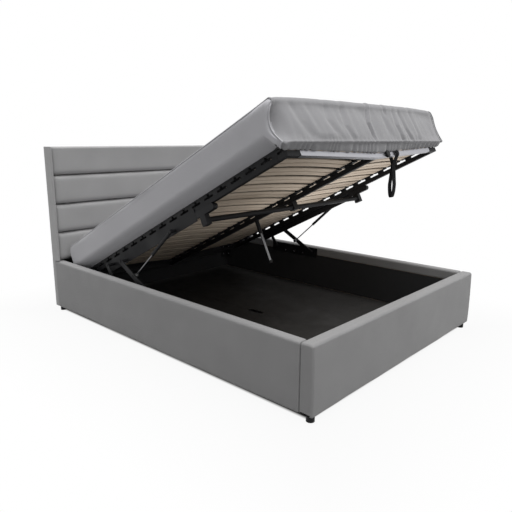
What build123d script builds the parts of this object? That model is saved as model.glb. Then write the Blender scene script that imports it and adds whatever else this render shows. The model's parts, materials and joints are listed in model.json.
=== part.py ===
"""Ottoman storage bed with its slatted frame lifted open, in millimetres.

X runs across the bed, Y from the footboard to the headboard and Z up from the floor.
The slatted frame is drawn level, with Y counted from its foot end and Z from its underside,
and is then set on the open lift arms.
"""
from build123d import *
from math import atan2, cos, degrees, hypot, radians, sin, sqrt
import os

os.makedirs("parts", exist_ok=True)

# Overall sizes
bed_width = 1620
bed_length = 2180
rail_top = 352
floor_gap = 35
headboard_height = 1095

# Upholstered rails and footboard
rail_thickness = 50
footboard_thickness = 66
rail_board_thickness = 22
lining_thickness = 2
lip_depth = 42
cover_top_thickness = 18
cover_edge_radius = 14
seam_gap = 1

# Headboard
headboard_base_thickness = 40
headboard_thickness = 88
headboard_board_thickness = 24
back_cloth_thickness = 3
side_panel_thickness = 12
channel_count = 4
channel_edge_radius = 16
channel_crown = 12
channel_gap = 1.2

# Floor of the storage box
floor_panel_thickness = 5
floor_panel_top = 50
ledge_width = 22
ledge_height = 18
batten_width = 60
batten_height = 16
batten_places_share = (0.18, 0.42, 0.62, 0.84)
batten_foot_radius = 18
fit_clearance = 1
leg_slot_width = 36
leg_slot_length = 108
leg_slot_lead = 36

# Feet
foot_radius = 19
foot_flange_radius = 24
foot_flange_height = 5
foot_inset_x = 36
foot_inset_y = 30

# Steel corner brackets with their bolts
bracket_leg = 60
bracket_height = 120
bracket_plate = 3
bracket_middle = 190
bolt_radius = 6
bolt_head_height = 4

# Rest brackets under the closed frame's foot end
rest_bracket_width = 70
rest_bracket_reach = 66
rest_bracket_drop = 60
rest_pad_thickness = 4
rest_clearance = 0.4

# Slatted frame
frame_side_inset = 53
tube_size = 25
tube_wall = 1.5
centre_tube_width = 30
centre_drop = 26
corner_reach = 90
corner_side_reach = 30
spigot_length = 40
spigot_slip = 0.2
closed_frame_height = 305
mattress_overhang = 42
mattress_head_overhang = 8

# Slats and their holders
slat_width = 38
slat_thickness = 8
slat_gap = 6
slat_pair_pitch = 104
slat_pair_start = 71
slat_camber = 10
holder_wall = 1.5
holder_side_wall = 3
holder_foot_height = 12
holder_foot_length = 36
holder_reach = 45
holder_seat = 20
holder_inset = 5
centre_holder_half_width = 26
centre_web = 4
holder_slope = 2
centre_holder_slope = 3
slat_slip = 0.4
slat_end_gap = 3

# Mattress, and its room between the rails, footboard and headboard
mattress_side_clearance = 10
mattress_foot_clearance = 9
mattress_head_clearance = 42
mattress_thickness = 191
mattress_crown = 8
mattress_edge_radius = 42
mattress_base_radius = 40
mattress_corner_radius = 55
mattress_side_draw = 5
mattress_rise = 51
mattress_trim = 1

# Lift mechanism, the same on both sides
open_tilt = 26.33
arm_length = 300
arm_open_angle = 28.0
arm_closed_angle = -6.1
arm_pivot_from_head = 555
arm_pivot_drop = 30
rear_pivot_step = 150
rear_pivot_drop = 10
rear_link_length = 104
strut_pivot_step = 516
strut_pivot_drop = 27
strut_seat_along_arm = 160
pivot_radius = 6
pivot_slip = 0.08
pivot_head_radius = 10
pivot_head_height = 3
side_gap = 0.5
arm_plate = 6
arm_width = 30
link_width = 26
arm_wall_gap = 10
base_plate = 4
base_plate_height = 70
base_plate_overrun = 46
base_bolt_height = 2.5
top_plate = 4
top_plate_foot_reach = 194
top_plate_head_reach = 70
top_plate_rise = 22
top_plate_drop = 44
strut_side_gap = 28
strut_cylinder_radius = 9
strut_bore_radius = 7
strut_cylinder_length = 212
strut_eye_radius = 11
strut_eye_width = 16
strut_neck_radius = 5
rod_radius = 4
rod_slip = 0.08
piston_radius = 6.7
piston_length = 14
cylinder_wall = 6
spacer_radius = 9

# Cross tube, its side blocks and the folding frame's splice
cross_tube_step = 45
cross_tube_radius = 14
cross_tube_drop = 57
cross_tube_entry = 15
cross_block_length = 200
cross_block_width = 30
cross_block_drop = 32
cross_block_end_radius = 16
cross_lug_length = 40
saddle_width = 40

# Centre leg
leg_step = 440
leg_sleeve_radius = 13
leg_sleeve_length = 84
leg_rod_radius = 7.5
leg_cap_radius = 12
leg_cap_length = 16
leg_ground_clearance = 1

# Pull strap
strap_place = 198
strap_width = 38
strap_thickness = 2.6
strap_wrap_gap = 2.6
strap_grip_gap = 24
strap_neck_gap = 2
strap_neck_length = 34
strap_spread_length = 104
strap_length = 248
anchor_place = 98
anchor_radius = 18
anchor_reach = 14
anchor_stud_radius = 4

overrun = 5

# Places worked out from the sizes
half_width = bed_width / 2
foot_face = -bed_length / 2
head_face = bed_length / 2
cavity_half = half_width - rail_thickness
rail_start = foot_face + footboard_thickness
rail_end = head_face - headboard_base_thickness
rail_board_inner = cavity_half + lining_thickness
rail_board_outer = rail_board_inner + rail_board_thickness
board_top = rail_top - cover_top_thickness
foot_lining_face = rail_start
foot_board_inner = foot_lining_face - lining_thickness
foot_board_outer = foot_board_inner - rail_board_thickness
head_lining_face = rail_end - lining_thickness
floor_panel_bottom = floor_panel_top - floor_panel_thickness
batten_bottom = floor_panel_bottom - batten_height
mattress_width = 2 * (cavity_half - mattress_side_clearance)
mattress_length = (bed_length - footboard_thickness - mattress_foot_clearance - headboard_thickness
                   - mattress_head_clearance)
frame_half = mattress_width / 2 - frame_side_inset
frame_length = mattress_length - mattress_overhang - mattress_head_overhang
closed_foot_y = foot_face + footboard_thickness + mattress_foot_clearance + mattress_overhang
rest_bracket_place = frame_half - corner_reach / 2
end_tube_half = frame_half - corner_reach

# Places of the lift, the cross tube and the leg, counted along the frame from its foot end
arm_pivot_along = frame_length - arm_pivot_from_head
rear_pivot_along = arm_pivot_along + rear_pivot_step
strut_pivot_along = arm_pivot_along - strut_pivot_step
top_plate_start = strut_pivot_along - top_plate_foot_reach
top_plate_end = rear_pivot_along + top_plate_head_reach
cross_tube_along = top_plate_start - cross_tube_step
leg_along = arm_pivot_along - leg_step
arm_outer_place = cavity_half - arm_wall_gap
strut_plane = frame_half + strut_side_gap


def turned(length, angle):
    """A step of this length along Y, turned up by the angle in degrees: its Y and Z."""
    return length * cos(radians(angle)), length * sin(radians(angle))


def framed(along, rise, tilt, foot_y, foot_z):
    """Where a point of the level frame lies once its foot end is lifted by the tilt."""
    step_y, step_z = turned(along, -tilt)
    rise_y, rise_z = turned(rise, 90 - tilt)
    return foot_y + step_y + rise_y, foot_z + step_z + rise_z


# The lift arm's base pin, and the frame's foot end when the arms are open
closed_arm_y = closed_foot_y + arm_pivot_along
closed_arm_z = closed_frame_height - arm_pivot_drop
arm_back_y, arm_back_z = turned(arm_length, arm_closed_angle)
base_y = closed_arm_y - arm_back_y
base_z = closed_arm_z - arm_back_z
arm_out_y, arm_out_z = turned(arm_length, arm_open_angle)
arm_top_y = base_y + arm_out_y
arm_top_z = base_z + arm_out_z
pivot_y, pivot_z = framed(arm_pivot_along, -arm_pivot_drop, open_tilt, 0, 0)
open_foot_y = arm_top_y - pivot_y
open_foot_z = arm_top_z - pivot_z
lifted = Location((0, open_foot_y, open_foot_z), (-open_tilt, 0, 0))

# The rear link's base pin: at the same distance from its frame pin when open and when closed
rear_open_y, rear_open_z = framed(rear_pivot_along, -rear_pivot_drop, open_tilt, open_foot_y, open_foot_z)
rear_closed_y = closed_foot_y + rear_pivot_along
rear_closed_z = closed_frame_height - rear_pivot_drop
chord_y = rear_closed_y - rear_open_y
chord_z = rear_closed_z - rear_open_z
chord = hypot(chord_y, chord_z)
rear_reach = sqrt(rear_link_length**2 - (chord / 2) ** 2) / chord
rear_base_y = (rear_open_y + rear_closed_y) / 2 + chord_z * rear_reach
rear_base_z = (rear_open_z + rear_closed_z) / 2 - chord_y * rear_reach

# The gas strut between the frame and the arm
strut_top_y, strut_top_z = framed(strut_pivot_along, -strut_pivot_drop, open_tilt, open_foot_y, open_foot_z)
seat_step_y, seat_step_z = turned(strut_seat_along_arm, arm_open_angle)
strut_seat_y = base_y + seat_step_y
strut_seat_z = base_z + seat_step_z
strut_open_length = hypot(strut_seat_y - strut_top_y, strut_seat_z - strut_top_z)
strut_angle = degrees(atan2(strut_seat_z - strut_top_z, strut_seat_y - strut_top_y))
closed_top_y = closed_foot_y + strut_pivot_along
closed_top_z = closed_frame_height - strut_pivot_drop
closed_step_y, closed_step_z = turned(strut_seat_along_arm, arm_closed_angle)
closed_strut_y = base_y + closed_step_y - closed_top_y
closed_strut_z = base_z + closed_step_z - closed_top_z
strut_closed_length = hypot(closed_strut_y, closed_strut_z)
strut_closed_angle = degrees(atan2(closed_strut_z, closed_strut_y))
strut_stroke = strut_open_length - strut_closed_length


def block(x, y, z):
    """A box between two values on each axis, in either order."""
    middle = ((x[0] + x[1]) / 2, (y[0] + y[1]) / 2, (z[0] + z[1]) / 2)
    return Pos(*middle) * Box(abs(x[1] - x[0]), abs(y[1] - y[0]), abs(z[1] - z[0]))


def pin(x, y, z, radius):
    """A round bar along X between two values of X."""
    return Pos((x[0] + x[1]) / 2, y, z) * Rot(0, 90, 0) * Cylinder(radius, abs(x[1] - x[0]))


def upright(x, y, z, radius):
    """A round bar along Z between two heights."""
    return Pos(x, y, (z[0] + z[1]) / 2) * Cylinder(radius, abs(z[1] - z[0]))


def swept_x(points, x):
    """A solid of one YZ outline carried along X between two values of X."""
    outline = make_face(Polyline(*[(0, y, z) for y, z in points], close=True))
    return Pos(min(x), 0, 0) * extrude(outline, abs(x[1] - x[0]), dir=(1, 0, 0))


def save(name, *solids):
    """Write one node, whose solids stay apart."""
    kept = [solid for shape in solids for solid in shape.solids()]
    export_step(kept[0] if len(kept) == 1 else Compound(children=kept), f"parts/{name}.step")


# Soft outlines


def rounded_cap(width, depth, crown, edge, base):
    """A closed outline across X and up Y: small base corners, round upper corners and a crowned top."""
    half = width / 2
    slant = sqrt(0.5)
    lower = base * (1 - slant)
    upper = edge * (1 - slant)
    right = [
        Line((0, 0), (half - base, 0)),
        ThreePointArc((half - base, 0), (half - lower, lower), (half, base)),
        Line((half, base), (half, depth - edge)),
        ThreePointArc((half, depth - edge), (half - upper, depth - upper), (half - edge, depth)),
    ]
    left = [mirror(edge_line, Plane.YZ) for edge_line in right]
    top = ThreePointArc((half - edge, depth), (0, depth + crown), (edge - half, depth))
    return make_face(Wire([part.edge() for part in right + left] + [top]))


def drawn_plan(width, length, corner, draw):
    """A plan outline with round corners, whose sides pull in a little between them."""
    half_x = width / 2
    half_y = length / 2
    slant = corner * (1 - sqrt(0.5))
    east = ThreePointArc((half_x, corner - half_y), (half_x - draw, 0), (half_x, half_y - corner))
    corner_arc = ThreePointArc((half_x, half_y - corner), (half_x - slant, half_y - slant),
                               (half_x - corner, half_y))
    north = ThreePointArc((half_x - corner, half_y), (0, half_y - draw), (corner - half_x, half_y))
    edges = [
        east, corner_arc, north, mirror(corner_arc, Plane.YZ), mirror(east, Plane.YZ),
        mirror(mirror(corner_arc, Plane.YZ), Plane.XZ), mirror(north, Plane.XZ),
        mirror(corner_arc, Plane.XZ),
    ]
    return make_face(Wire([part.edge() for part in edges]))


def mattress():
    """The mattress, level, with its foot end past the frame's and a crowned top."""
    across = rounded_cap(mattress_width + 2 * mattress_trim, mattress_thickness, mattress_crown,
                         mattress_edge_radius, mattress_base_radius)
    along = rounded_cap(mattress_length + 2 * mattress_trim, mattress_thickness, mattress_crown,
                        mattress_edge_radius, mattress_base_radius)
    plan = drawn_plan(mattress_width, mattress_length, mattress_corner_radius, mattress_side_draw)
    body = extrude(plan, mattress_thickness + 2 * mattress_crown, dir=(0, 0, 1))
    body &= extrude(Plane.XZ * across, mattress_length / 2 + overrun, both=True)
    body &= extrude(Plane.YZ * along, mattress_width / 2 + overrun, both=True)
    return Pos(0, mattress_length / 2 - mattress_overhang, mattress_rise) * body


# Rails, footboard and headboard


def side_rail(sign):
    """One side rail: its board, and the padded cover that wraps the outside, the top and a lip inside."""
    y = (rail_start + seam_gap, rail_end - seam_gap)
    board = block((sign * rail_board_inner, sign * rail_board_outer), y, (floor_gap, board_top))
    outer = extrude(rail_cover_outline(), y[1] - y[0])
    cover = Pos(0, y[1], 0) * Rot(90, 0, 0) * outer
    return board, cover if sign > 0 else mirror(cover, Plane.YZ)


def rail_cover_outline():
    """The right rail cover's section in X and Z, written as X and Y: outer face, round top and inner lip."""
    radius = cover_edge_radius
    slant = radius * (1 - sqrt(0.5))
    inner_top = (cavity_half, rail_top - radius)
    edges = [
        Line((half_width, floor_gap), (half_width, rail_top - radius)),
        ThreePointArc((half_width, rail_top - radius), (half_width - slant, rail_top - slant),
                      (half_width - radius, rail_top)),
        Line((half_width - radius, rail_top), (cavity_half + radius, rail_top)),
        ThreePointArc((cavity_half + radius, rail_top), (cavity_half + slant, rail_top - slant), inner_top),
        Polyline(inner_top, (cavity_half, board_top - lip_depth), (rail_board_inner, board_top - lip_depth),
                 (rail_board_inner, board_top), (rail_board_outer, board_top),
                 (rail_board_outer, floor_gap), (half_width, floor_gap)),
    ]
    return make_face(Wire([edge for line in edges for edge in line.edges()]))


def footboard():
    """The footboard's board and its padded cover, which closes the ends of the bed."""
    board = block((-half_width + rail_thickness, half_width - rail_thickness),
                  (foot_board_outer, foot_board_inner), (floor_gap, board_top))
    radius = cover_edge_radius
    slant = radius * (1 - sqrt(0.5))
    top_edges = [
        Line((foot_face, floor_gap), (foot_face, rail_top - radius)),
        ThreePointArc((foot_face, rail_top - radius), (foot_face + slant, rail_top - slant),
                      (foot_face + radius, rail_top)),
        Line((foot_face + radius, rail_top), (foot_lining_face - radius, rail_top)),
        ThreePointArc((foot_lining_face - radius, rail_top), (foot_lining_face - slant, rail_top - slant),
                      (foot_lining_face, rail_top - radius)),
        Polyline((foot_lining_face, rail_top - radius), (foot_lining_face, floor_gap),
                 (foot_face, floor_gap)),
    ]
    section = make_face(Wire([edge for line in top_edges for edge in line.edges()]))
    body = extrude(Plane.YZ * section, half_width, both=True)
    body -= block((-cavity_half, cavity_half), (foot_board_inner, rail_start + overrun),
                  (floor_gap - overrun, board_top - lip_depth))
    return board, body - board


def head_board():
    """The headboard's inner board."""
    front = head_face - back_cloth_thickness - headboard_board_thickness
    x = half_width - side_panel_thickness
    return block((-x, x), (front, head_face - back_cloth_thickness),
                 (floor_gap, headboard_height - side_panel_thickness))


def head_back_cloth():
    """The cloth tacked over the headboard's back."""
    x = half_width - side_panel_thickness
    return block((-x, x), (head_face - back_cloth_thickness, head_face),
                 (floor_gap, headboard_height - side_panel_thickness))


def head_surround():
    """The padded edge that runs up both sides of the headboard and over its top."""
    upper_front = head_face - headboard_thickness
    outline = [(rail_end, floor_gap), (head_face, floor_gap), (head_face, headboard_height),
               (upper_front, headboard_height), (upper_front, rail_top + seam_gap),
               (rail_end, rail_top + seam_gap)]
    whole = swept_x(outline, (-half_width, half_width))
    x = half_width - side_panel_thickness
    return whole - block((-x, x), (upper_front - overrun, head_face + overrun),
                         (floor_gap - overrun, headboard_height - side_panel_thickness))


def head_filler():
    """The lower front layer of the headboard, between the rails."""
    x = half_width - side_panel_thickness
    front = head_face - back_cloth_thickness - headboard_board_thickness
    return block((-x, x), (rail_end, front), (floor_gap, rail_top))


def head_channel(index):
    """One padded channel across the headboard, counted from the bottom."""
    width = bed_width - 2 * side_panel_thickness
    low = rail_top + seam_gap
    pitch = (headboard_height - side_panel_thickness - low) / channel_count
    height = pitch - channel_gap
    back = head_face - back_cloth_thickness - headboard_board_thickness
    depth = headboard_thickness - back_cloth_thickness - headboard_board_thickness - channel_crown
    up = rounded_cap(height, depth, channel_crown, channel_edge_radius, channel_gap)
    across = rounded_cap(width, depth, channel_crown, channel_edge_radius, channel_gap)
    body = extrude(Plane.XZ * across, height / 2, both=True)
    body &= extrude(Plane.YZ * up, width / 2, both=True)
    return Pos(0, back, low + pitch * (index + 1 / 2)) * Rot(90, 0, 0) * body


def linings():
    """The thin dark lining inside the storage box, one sheet for each wall."""
    z = (floor_panel_top + fit_clearance, board_top - lip_depth - seam_gap)
    y = (rail_start + seam_gap, rail_end - seam_gap)
    sides = [block((sign * cavity_half, sign * rail_board_inner), y, z) for sign in (-1, 1)]
    foot = block((-cavity_half, cavity_half), (foot_board_inner, foot_lining_face), z)
    head = block((-cavity_half, cavity_half), (head_lining_face, rail_end), (z[0], rail_top - seam_gap))
    return sides + [foot, head]


# Floor of the storage box


def floor_panel(sign):
    """One half of the thin floor, with half of the slot that the centre leg comes down through."""
    x = (sign * seam_gap / 2, sign * (cavity_half - fit_clearance))
    panel = block(x, (rail_start + fit_clearance, head_lining_face - fit_clearance),
                  (floor_panel_bottom, floor_panel_top))
    closed_leg_y = closed_foot_y + leg_along
    slot = block((-leg_slot_width / 2, leg_slot_width / 2),
                 (closed_leg_y - leg_slot_lead, closed_leg_y - leg_slot_lead + leg_slot_length),
                 (floor_panel_bottom - overrun, floor_panel_top + overrun))
    return panel - slot


def floor_ledges():
    """Wooden strips along the rails that carry the floor's edges."""
    x = (cavity_half - ledge_width, rail_board_inner)
    z = (floor_panel_bottom - ledge_height, floor_panel_bottom)
    y = (rail_start + bracket_leg + seam_gap, rail_end - bracket_leg - seam_gap)
    return [block((sign * x[0], sign * x[1]), y, z) for sign in (-1, 1)]


def batten_y(share):
    """The place of a floor batten along the storage box."""
    return rail_start + share * (rail_end - rail_start)


def floor_battens():
    """Wooden cross battens between the ledges."""
    x = cavity_half - ledge_width - fit_clearance
    return [block((-x, x), (batten_y(share) - batten_width / 2, batten_y(share) + batten_width / 2),
                  (batten_bottom, floor_panel_bottom)) for share in batten_places_share]


def batten_feet():
    """Round feet under the middle of the battens."""
    return [upright(0, batten_y(share), (0, batten_bottom), batten_foot_radius)
            for share in batten_places_share]


def corner_feet():
    """Round glides screwed under the four corners, each with a flange."""
    feet = []
    for sign in (-1, 1):
        for y in (foot_face + foot_inset_y, head_face - foot_inset_y):
            x = sign * (half_width - foot_inset_x)
            flange_z = floor_gap - foot_flange_height
            glide = upright(x, y, (0, flange_z), foot_radius)
            feet.append(glide + upright(x, y, (flange_z, floor_gap), foot_flange_radius))
    return feet


# Steel brackets inside the box


def corner_bracket(sign, end):
    """A bent steel angle in one corner, with two bolt heads on each of its plates."""
    wall_x = sign * cavity_half
    wall_y = foot_lining_face if end < 0 else head_lining_face
    inward_x = wall_x - sign * bracket_leg
    inward_y = wall_y - end * bracket_leg
    z = (bracket_middle - bracket_height / 2, bracket_middle + bracket_height / 2)
    plate_x = block((wall_x, wall_x - sign * bracket_plate), (wall_y, inward_y), z)
    plate_y = block((wall_x, inward_x), (wall_y, wall_y - end * bracket_plate), z)
    return plate_x + plate_y


def corner_bolts(sign, end):
    """The bolt heads of one corner bracket."""
    wall_x = sign * (cavity_half - bracket_plate)
    wall_y = (foot_lining_face if end < 0 else head_lining_face) - end * bracket_plate
    middle = bracket_leg / 2 + bracket_plate
    bolts = []
    for z in (bracket_middle - bracket_height / 4, bracket_middle + bracket_height / 4):
        bolts.append(pin((wall_x, wall_x - sign * bolt_head_height), wall_y - end * middle, z, bolt_radius))
        head = Rot(90, 0, 0) * Cylinder(bolt_radius, bolt_head_height)
        bolts.append(Pos(wall_x - sign * middle, wall_y - end * bolt_head_height / 2, z) * head)
    return bolts


def rest_span(sign, width):
    """The span in X of a rest bracket's piece of this width."""
    middle = sign * rest_bracket_place
    return middle - width / 2, middle + width / 2


def rest_bracket(sign):
    """A steel bracket with a gusset on the footboard, under the closed frame's foot tube."""
    x = rest_span(sign, rest_bracket_width)
    top = closed_frame_height - rest_clearance - rest_pad_thickness
    shelf = block(x, (foot_lining_face, foot_lining_face + rest_bracket_reach), (top - bracket_plate, top))
    plate = block(x, (foot_lining_face, foot_lining_face + bracket_plate), (top - rest_bracket_drop, top))
    gusset = swept_x([(foot_lining_face, top), (foot_lining_face + rest_bracket_reach, top),
                      (foot_lining_face, top - rest_bracket_drop)], rest_span(sign, bracket_plate))
    return shelf + plate + gusset


def rest_pad(sign):
    """The rubber pad on a rest bracket."""
    top = closed_frame_height - rest_clearance
    y = (foot_lining_face, foot_lining_face + rest_bracket_reach)
    return block(rest_span(sign, rest_bracket_width), y, (top - rest_pad_thickness, top))


# Lift mechanism


def bar_between(x, first, second, width, hole_radius):
    """A flat bar with round ends between two pivots, with a hole at the first."""
    length = hypot(second[0] - first[0], second[1] - first[1])
    angle = degrees(atan2(second[1] - first[1], second[0] - first[0]))
    flat = Pos(length / 2, 0) * SlotCenterToCenter(length, width) - Circle(hole_radius)
    solid = extrude(Plane.YZ * (Pos(*first) * Rot(0, 0, angle) * flat), abs(x[1] - x[0]))
    return Pos(min(x), 0, 0) * solid


def base_bracket(sign):
    """The steel plate bolted along the rail, with the pins that the arm and the rear link turn on."""
    wall = sign * cavity_half
    face = wall - sign * base_plate
    low = min(base_z, rear_base_z) - base_plate_height / 2
    plate = block((wall, face), (base_y - base_plate_overrun, rear_base_y + base_plate_overrun),
                  (low, low + base_plate_height))
    inner = sign * (arm_outer_place - arm_plate - pivot_head_height)
    for y, z in ((base_y, base_z), (rear_base_y, rear_base_z)):
        plate += pin((face, inner), y, z, pivot_radius)
        plate += pin((face, sign * (arm_outer_place + side_gap)), y, z, pivot_head_radius)
        plate += pin((inner, sign * (arm_outer_place - arm_plate - side_gap)), y, z, pivot_head_radius)
    return plate


def base_bolts(sign):
    """The bolt heads of one base bracket."""
    face = sign * (cavity_half - base_plate)
    z = min(base_z, rear_base_z) - base_plate_height / 4
    places = [base_y + (rear_base_y - base_y) * step / 4 for step in (1, 2, 3)]
    return [pin((face, face - sign * base_bolt_height), y, z, bolt_radius) for y in places]


def lift_arm(sign):
    """A main arm, open, with an eye at each end and the strut's bolt head on its outer side."""
    x = (sign * (arm_outer_place - arm_plate), sign * arm_outer_place)
    bar = bar_between(x, (base_y, base_z), (arm_top_y, arm_top_z), arm_width, pivot_radius + pivot_slip)
    bar -= pin((x[0] - sign * overrun, x[1] + sign * overrun), arm_top_y, arm_top_z,
               pivot_radius + pivot_slip)
    return bar + pin((x[1], x[1] + sign * pivot_head_height), strut_seat_y, strut_seat_z, pivot_radius)


def rear_link(sign):
    """A short rear link, open, with a bolt head at its frame end."""
    x = (sign * (arm_outer_place - arm_plate), sign * arm_outer_place)
    bar = bar_between(x, (rear_base_y, rear_base_z), (rear_open_y, rear_open_z), link_width,
                      pivot_radius + pivot_slip)
    return bar + pin((x[1], x[1] + sign * pivot_head_height), rear_open_y, rear_open_z, pivot_radius)


def top_plate_solid(sign):
    """The steel plate under one side of the frame, level, with its three pivot spacers and pins."""
    outer = sign * (frame_half + top_plate)
    along = (top_plate_start, top_plate_end)
    plate = block((sign * frame_half, outer), along, (-top_plate_drop, top_plate_rise))
    shelf = block((outer, sign * (frame_half - tube_size)), along, (-top_plate, 0))
    plate += shelf
    arm_inner = sign * (arm_outer_place - arm_plate - side_gap)
    arm_head = sign * (arm_outer_place + side_gap)
    plate += pin((outer, arm_inner), arm_pivot_along, -arm_pivot_drop, spacer_radius)
    plate += pin((outer, arm_head), arm_pivot_along, -arm_pivot_drop, pivot_radius)
    plate += pin((arm_head, arm_head + sign * pivot_head_height), arm_pivot_along, -arm_pivot_drop,
                 pivot_head_radius)
    plate += pin((outer, arm_inner), rear_pivot_along, -rear_pivot_drop, spacer_radius)
    eye_inner = sign * (strut_plane - strut_eye_width / 2 - side_gap)
    eye_outer = sign * (strut_plane + strut_eye_width / 2 + side_gap)
    plate += pin((outer, eye_inner), strut_pivot_along, -strut_pivot_drop, spacer_radius)
    plate += pin((outer, eye_outer), strut_pivot_along, -strut_pivot_drop, rod_radius)
    plate += pin((eye_outer, eye_outer + sign * pivot_head_height), strut_pivot_along, -strut_pivot_drop,
                 pivot_head_radius)
    return plate


def along_strut(sign, start, end, radius):
    """A round bar in the strut's plane, between two distances from its top pivot."""
    bar = Pos(0, (start + end) / 2, 0) * Rot(90, 0, 0) * Cylinder(radius, end - start)
    return Pos(sign * strut_plane, strut_top_y, strut_top_z) * Rot(strut_angle, 0, 0) * bar


def strut_cylinder(sign):
    """The gas strut's cylinder with its top eye, a bore and a guide hole for the rod."""
    neck_end = strut_eye_radius + cylinder_wall
    mouth = neck_end + strut_cylinder_length
    x = (sign * (strut_plane - strut_eye_width / 2), sign * (strut_plane + strut_eye_width / 2))
    eye = pin(x, strut_top_y, strut_top_z, strut_eye_radius)
    body = eye + along_strut(sign, 0, neck_end, strut_neck_radius)
    body += along_strut(sign, neck_end, mouth, strut_cylinder_radius)
    body -= along_strut(sign, neck_end + cylinder_wall, mouth - cylinder_wall, strut_bore_radius)
    body -= along_strut(sign, mouth - cylinder_wall - overrun, mouth + overrun, rod_radius + rod_slip)
    return body - pin((x[0] - sign * overrun, x[1] + sign * overrun), strut_top_y, strut_top_z,
                      rod_radius + rod_slip)


def strut_rod(sign):
    """The strut's rod with its piston inside the cylinder and its end fitting beside the arm."""
    mouth = strut_eye_radius + cylinder_wall + strut_cylinder_length
    piston_end = mouth - cylinder_wall - piston_length / 2
    rod = along_strut(sign, piston_end - piston_length, piston_end, piston_radius)
    rod += along_strut(sign, piston_end, strut_open_length, rod_radius)
    rod += along_strut(sign, strut_open_length - 2 * strut_eye_radius, strut_open_length, strut_neck_radius)
    x = (sign * (strut_plane - strut_eye_width / 2), sign * (strut_plane + strut_eye_width / 2))
    rod += pin(x, strut_seat_y, strut_seat_z, strut_eye_radius)
    stud_end = sign * (arm_outer_place - arm_plate - side_gap)
    return rod + pin((x[1], stud_end), strut_seat_y, strut_seat_z, pivot_radius)


# Slatted frame, drawn level


def tube(x, y, z, hollow_along):
    """A square tube with open ends along one axis."""
    outer = block(x, y, z)
    spans = []
    for name, (low, high) in zip("xyz", (sorted(x), sorted(y), sorted(z))):
        inset = -overrun if name == hollow_along else tube_wall
        spans.append((low + inset, high - inset))
    return outer - block(*spans)


def side_tube(sign):
    """One long side tube of the frame, between its corner pieces."""
    x = (sign * (frame_half - tube_size), sign * frame_half)
    start = tube_size + corner_side_reach
    return tube(x, (start, frame_length - start), (0, tube_size), "y")


def end_tube_fall(x):
    """How far the end tubes have fallen at this place across the frame."""
    return centre_drop * (1 - abs(x) / end_tube_half)


def end_tube_run(reach, inset, y):
    """The end tubes' line out to this place on both sides, filled to the tube's section less an inset."""
    low = [(x, inset - end_tube_fall(x)) for x in (-reach, 0, reach)]
    high = [(x, z + tube_size - 2 * inset) for x, z in reversed(low)]
    outline = make_face(Polyline(*[(x, 0, z) for x, z in low + high], close=True))
    return Pos(0, min(y), 0) * extrude(outline, abs(y[1] - y[0]), dir=(0, 1, 0))


def end_tube(start):
    """A cross tube that closes one end of the frame, falling from both corner pieces to the middle."""
    hollow = (start + tube_wall, start + tube_size - tube_wall)
    return (end_tube_run(end_tube_half, 0, (start, start + tube_size))
            - end_tube_run(end_tube_half + overrun, tube_wall, hollow))


def frame_corner(sign, end):
    """A moulded corner piece, with a spigot into the end tube and one into the side tube."""
    face = 0 if end < 0 else frame_length
    inner_y = face - end * tube_size
    side_y = inner_y - end * corner_side_reach
    inner_x = sign * (frame_half - corner_reach)
    slip = tube_wall + spigot_slip
    fill = (slip, tube_size - slip)
    piece = block((inner_x, sign * frame_half), (face, inner_y), (0, tube_size))
    piece += block((sign * (frame_half - tube_size), sign * frame_half), (inner_y, side_y), (0, tube_size))
    y = (face - end * slip, inner_y + end * slip)
    spigot = end_tube_run(end_tube_half, slip, y)
    piece += spigot & block((inner_x, inner_x - sign * spigot_length), y, (-centre_drop, tube_size))
    x = (sign * (frame_half - slip), sign * (frame_half - tube_size + slip))
    return piece + block(x, (side_y, side_y - end * spigot_length), fill)


def centre_tube():
    """The long tube down the middle of the frame."""
    x = (-centre_tube_width / 2, centre_tube_width / 2)
    return tube(x, (tube_size, frame_length - tube_size), (-centre_drop, tube_size - centre_drop), "y")


def holder_middles():
    """The middle of each pair of slats along the frame, from the foot tube on."""
    room = frame_length - 2 * slat_pair_start
    return [slat_pair_start + index * slat_pair_pitch for index in range(int(room / slat_pair_pitch) + 1)]


def pair_middles(middle):
    """The middles of the two slats in one holder."""
    step = (slat_width + slat_gap) / 2
    return middle - step, middle + step


def slat_reach():
    """The places of a slat's inner and outer end across the frame."""
    return centre_web / 2 + slat_end_gap, frame_half - tube_size - 2 * holder_seat + holder_reach - slat_end_gap


def slat_level():
    """The height of the slats' underside at their inner and outer ends."""
    outer = tube_size + holder_foot_height + holder_wall + slat_slip / 2
    return outer - centre_drop, outer


def slat_run(sign, middle, slip):
    """One bowed slat between the centre and side holders, grown by a slip on its faces, edges and ends."""
    inner_x, outer_x = slat_reach()
    inner_z, outer_z = slat_level()
    middle_x = (inner_x + outer_x) / 2
    middle_z = (inner_z + outer_z) / 2 + slat_camber
    low = [(sign * inner_x, inner_z - slip), (sign * middle_x, middle_z - slip), (sign * outer_x, outer_z - slip)]
    rise = slat_thickness + 2 * slip
    high = [(x, z + rise) for x, z in low]
    edges = [ThreePointArc(*low), Line(low[2], high[2]), ThreePointArc(*reversed(high)), Line(high[0], low[0])]
    face = make_face(Wire([part.edge() for part in edges]))
    length = slat_width + 2 * slip
    return Pos(0, middle + length / 2, 0) * extrude(Plane.XZ * face, length)


def holder(x, foot_x, low, slope, middle):
    """A plastic holder for two slats: a cap round their ends, with room for their slope, on a shorter foot."""
    half = slat_width + slat_gap / 2 + holder_side_wall
    top = low + 2 * holder_wall + slat_slip + slat_thickness + slope
    cap = block(x, (middle - half, middle + half), (low, top))
    foot = block(foot_x, (middle - holder_foot_length / 2, middle + holder_foot_length / 2),
                 (low - holder_foot_height, low))
    return cap + foot


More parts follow.
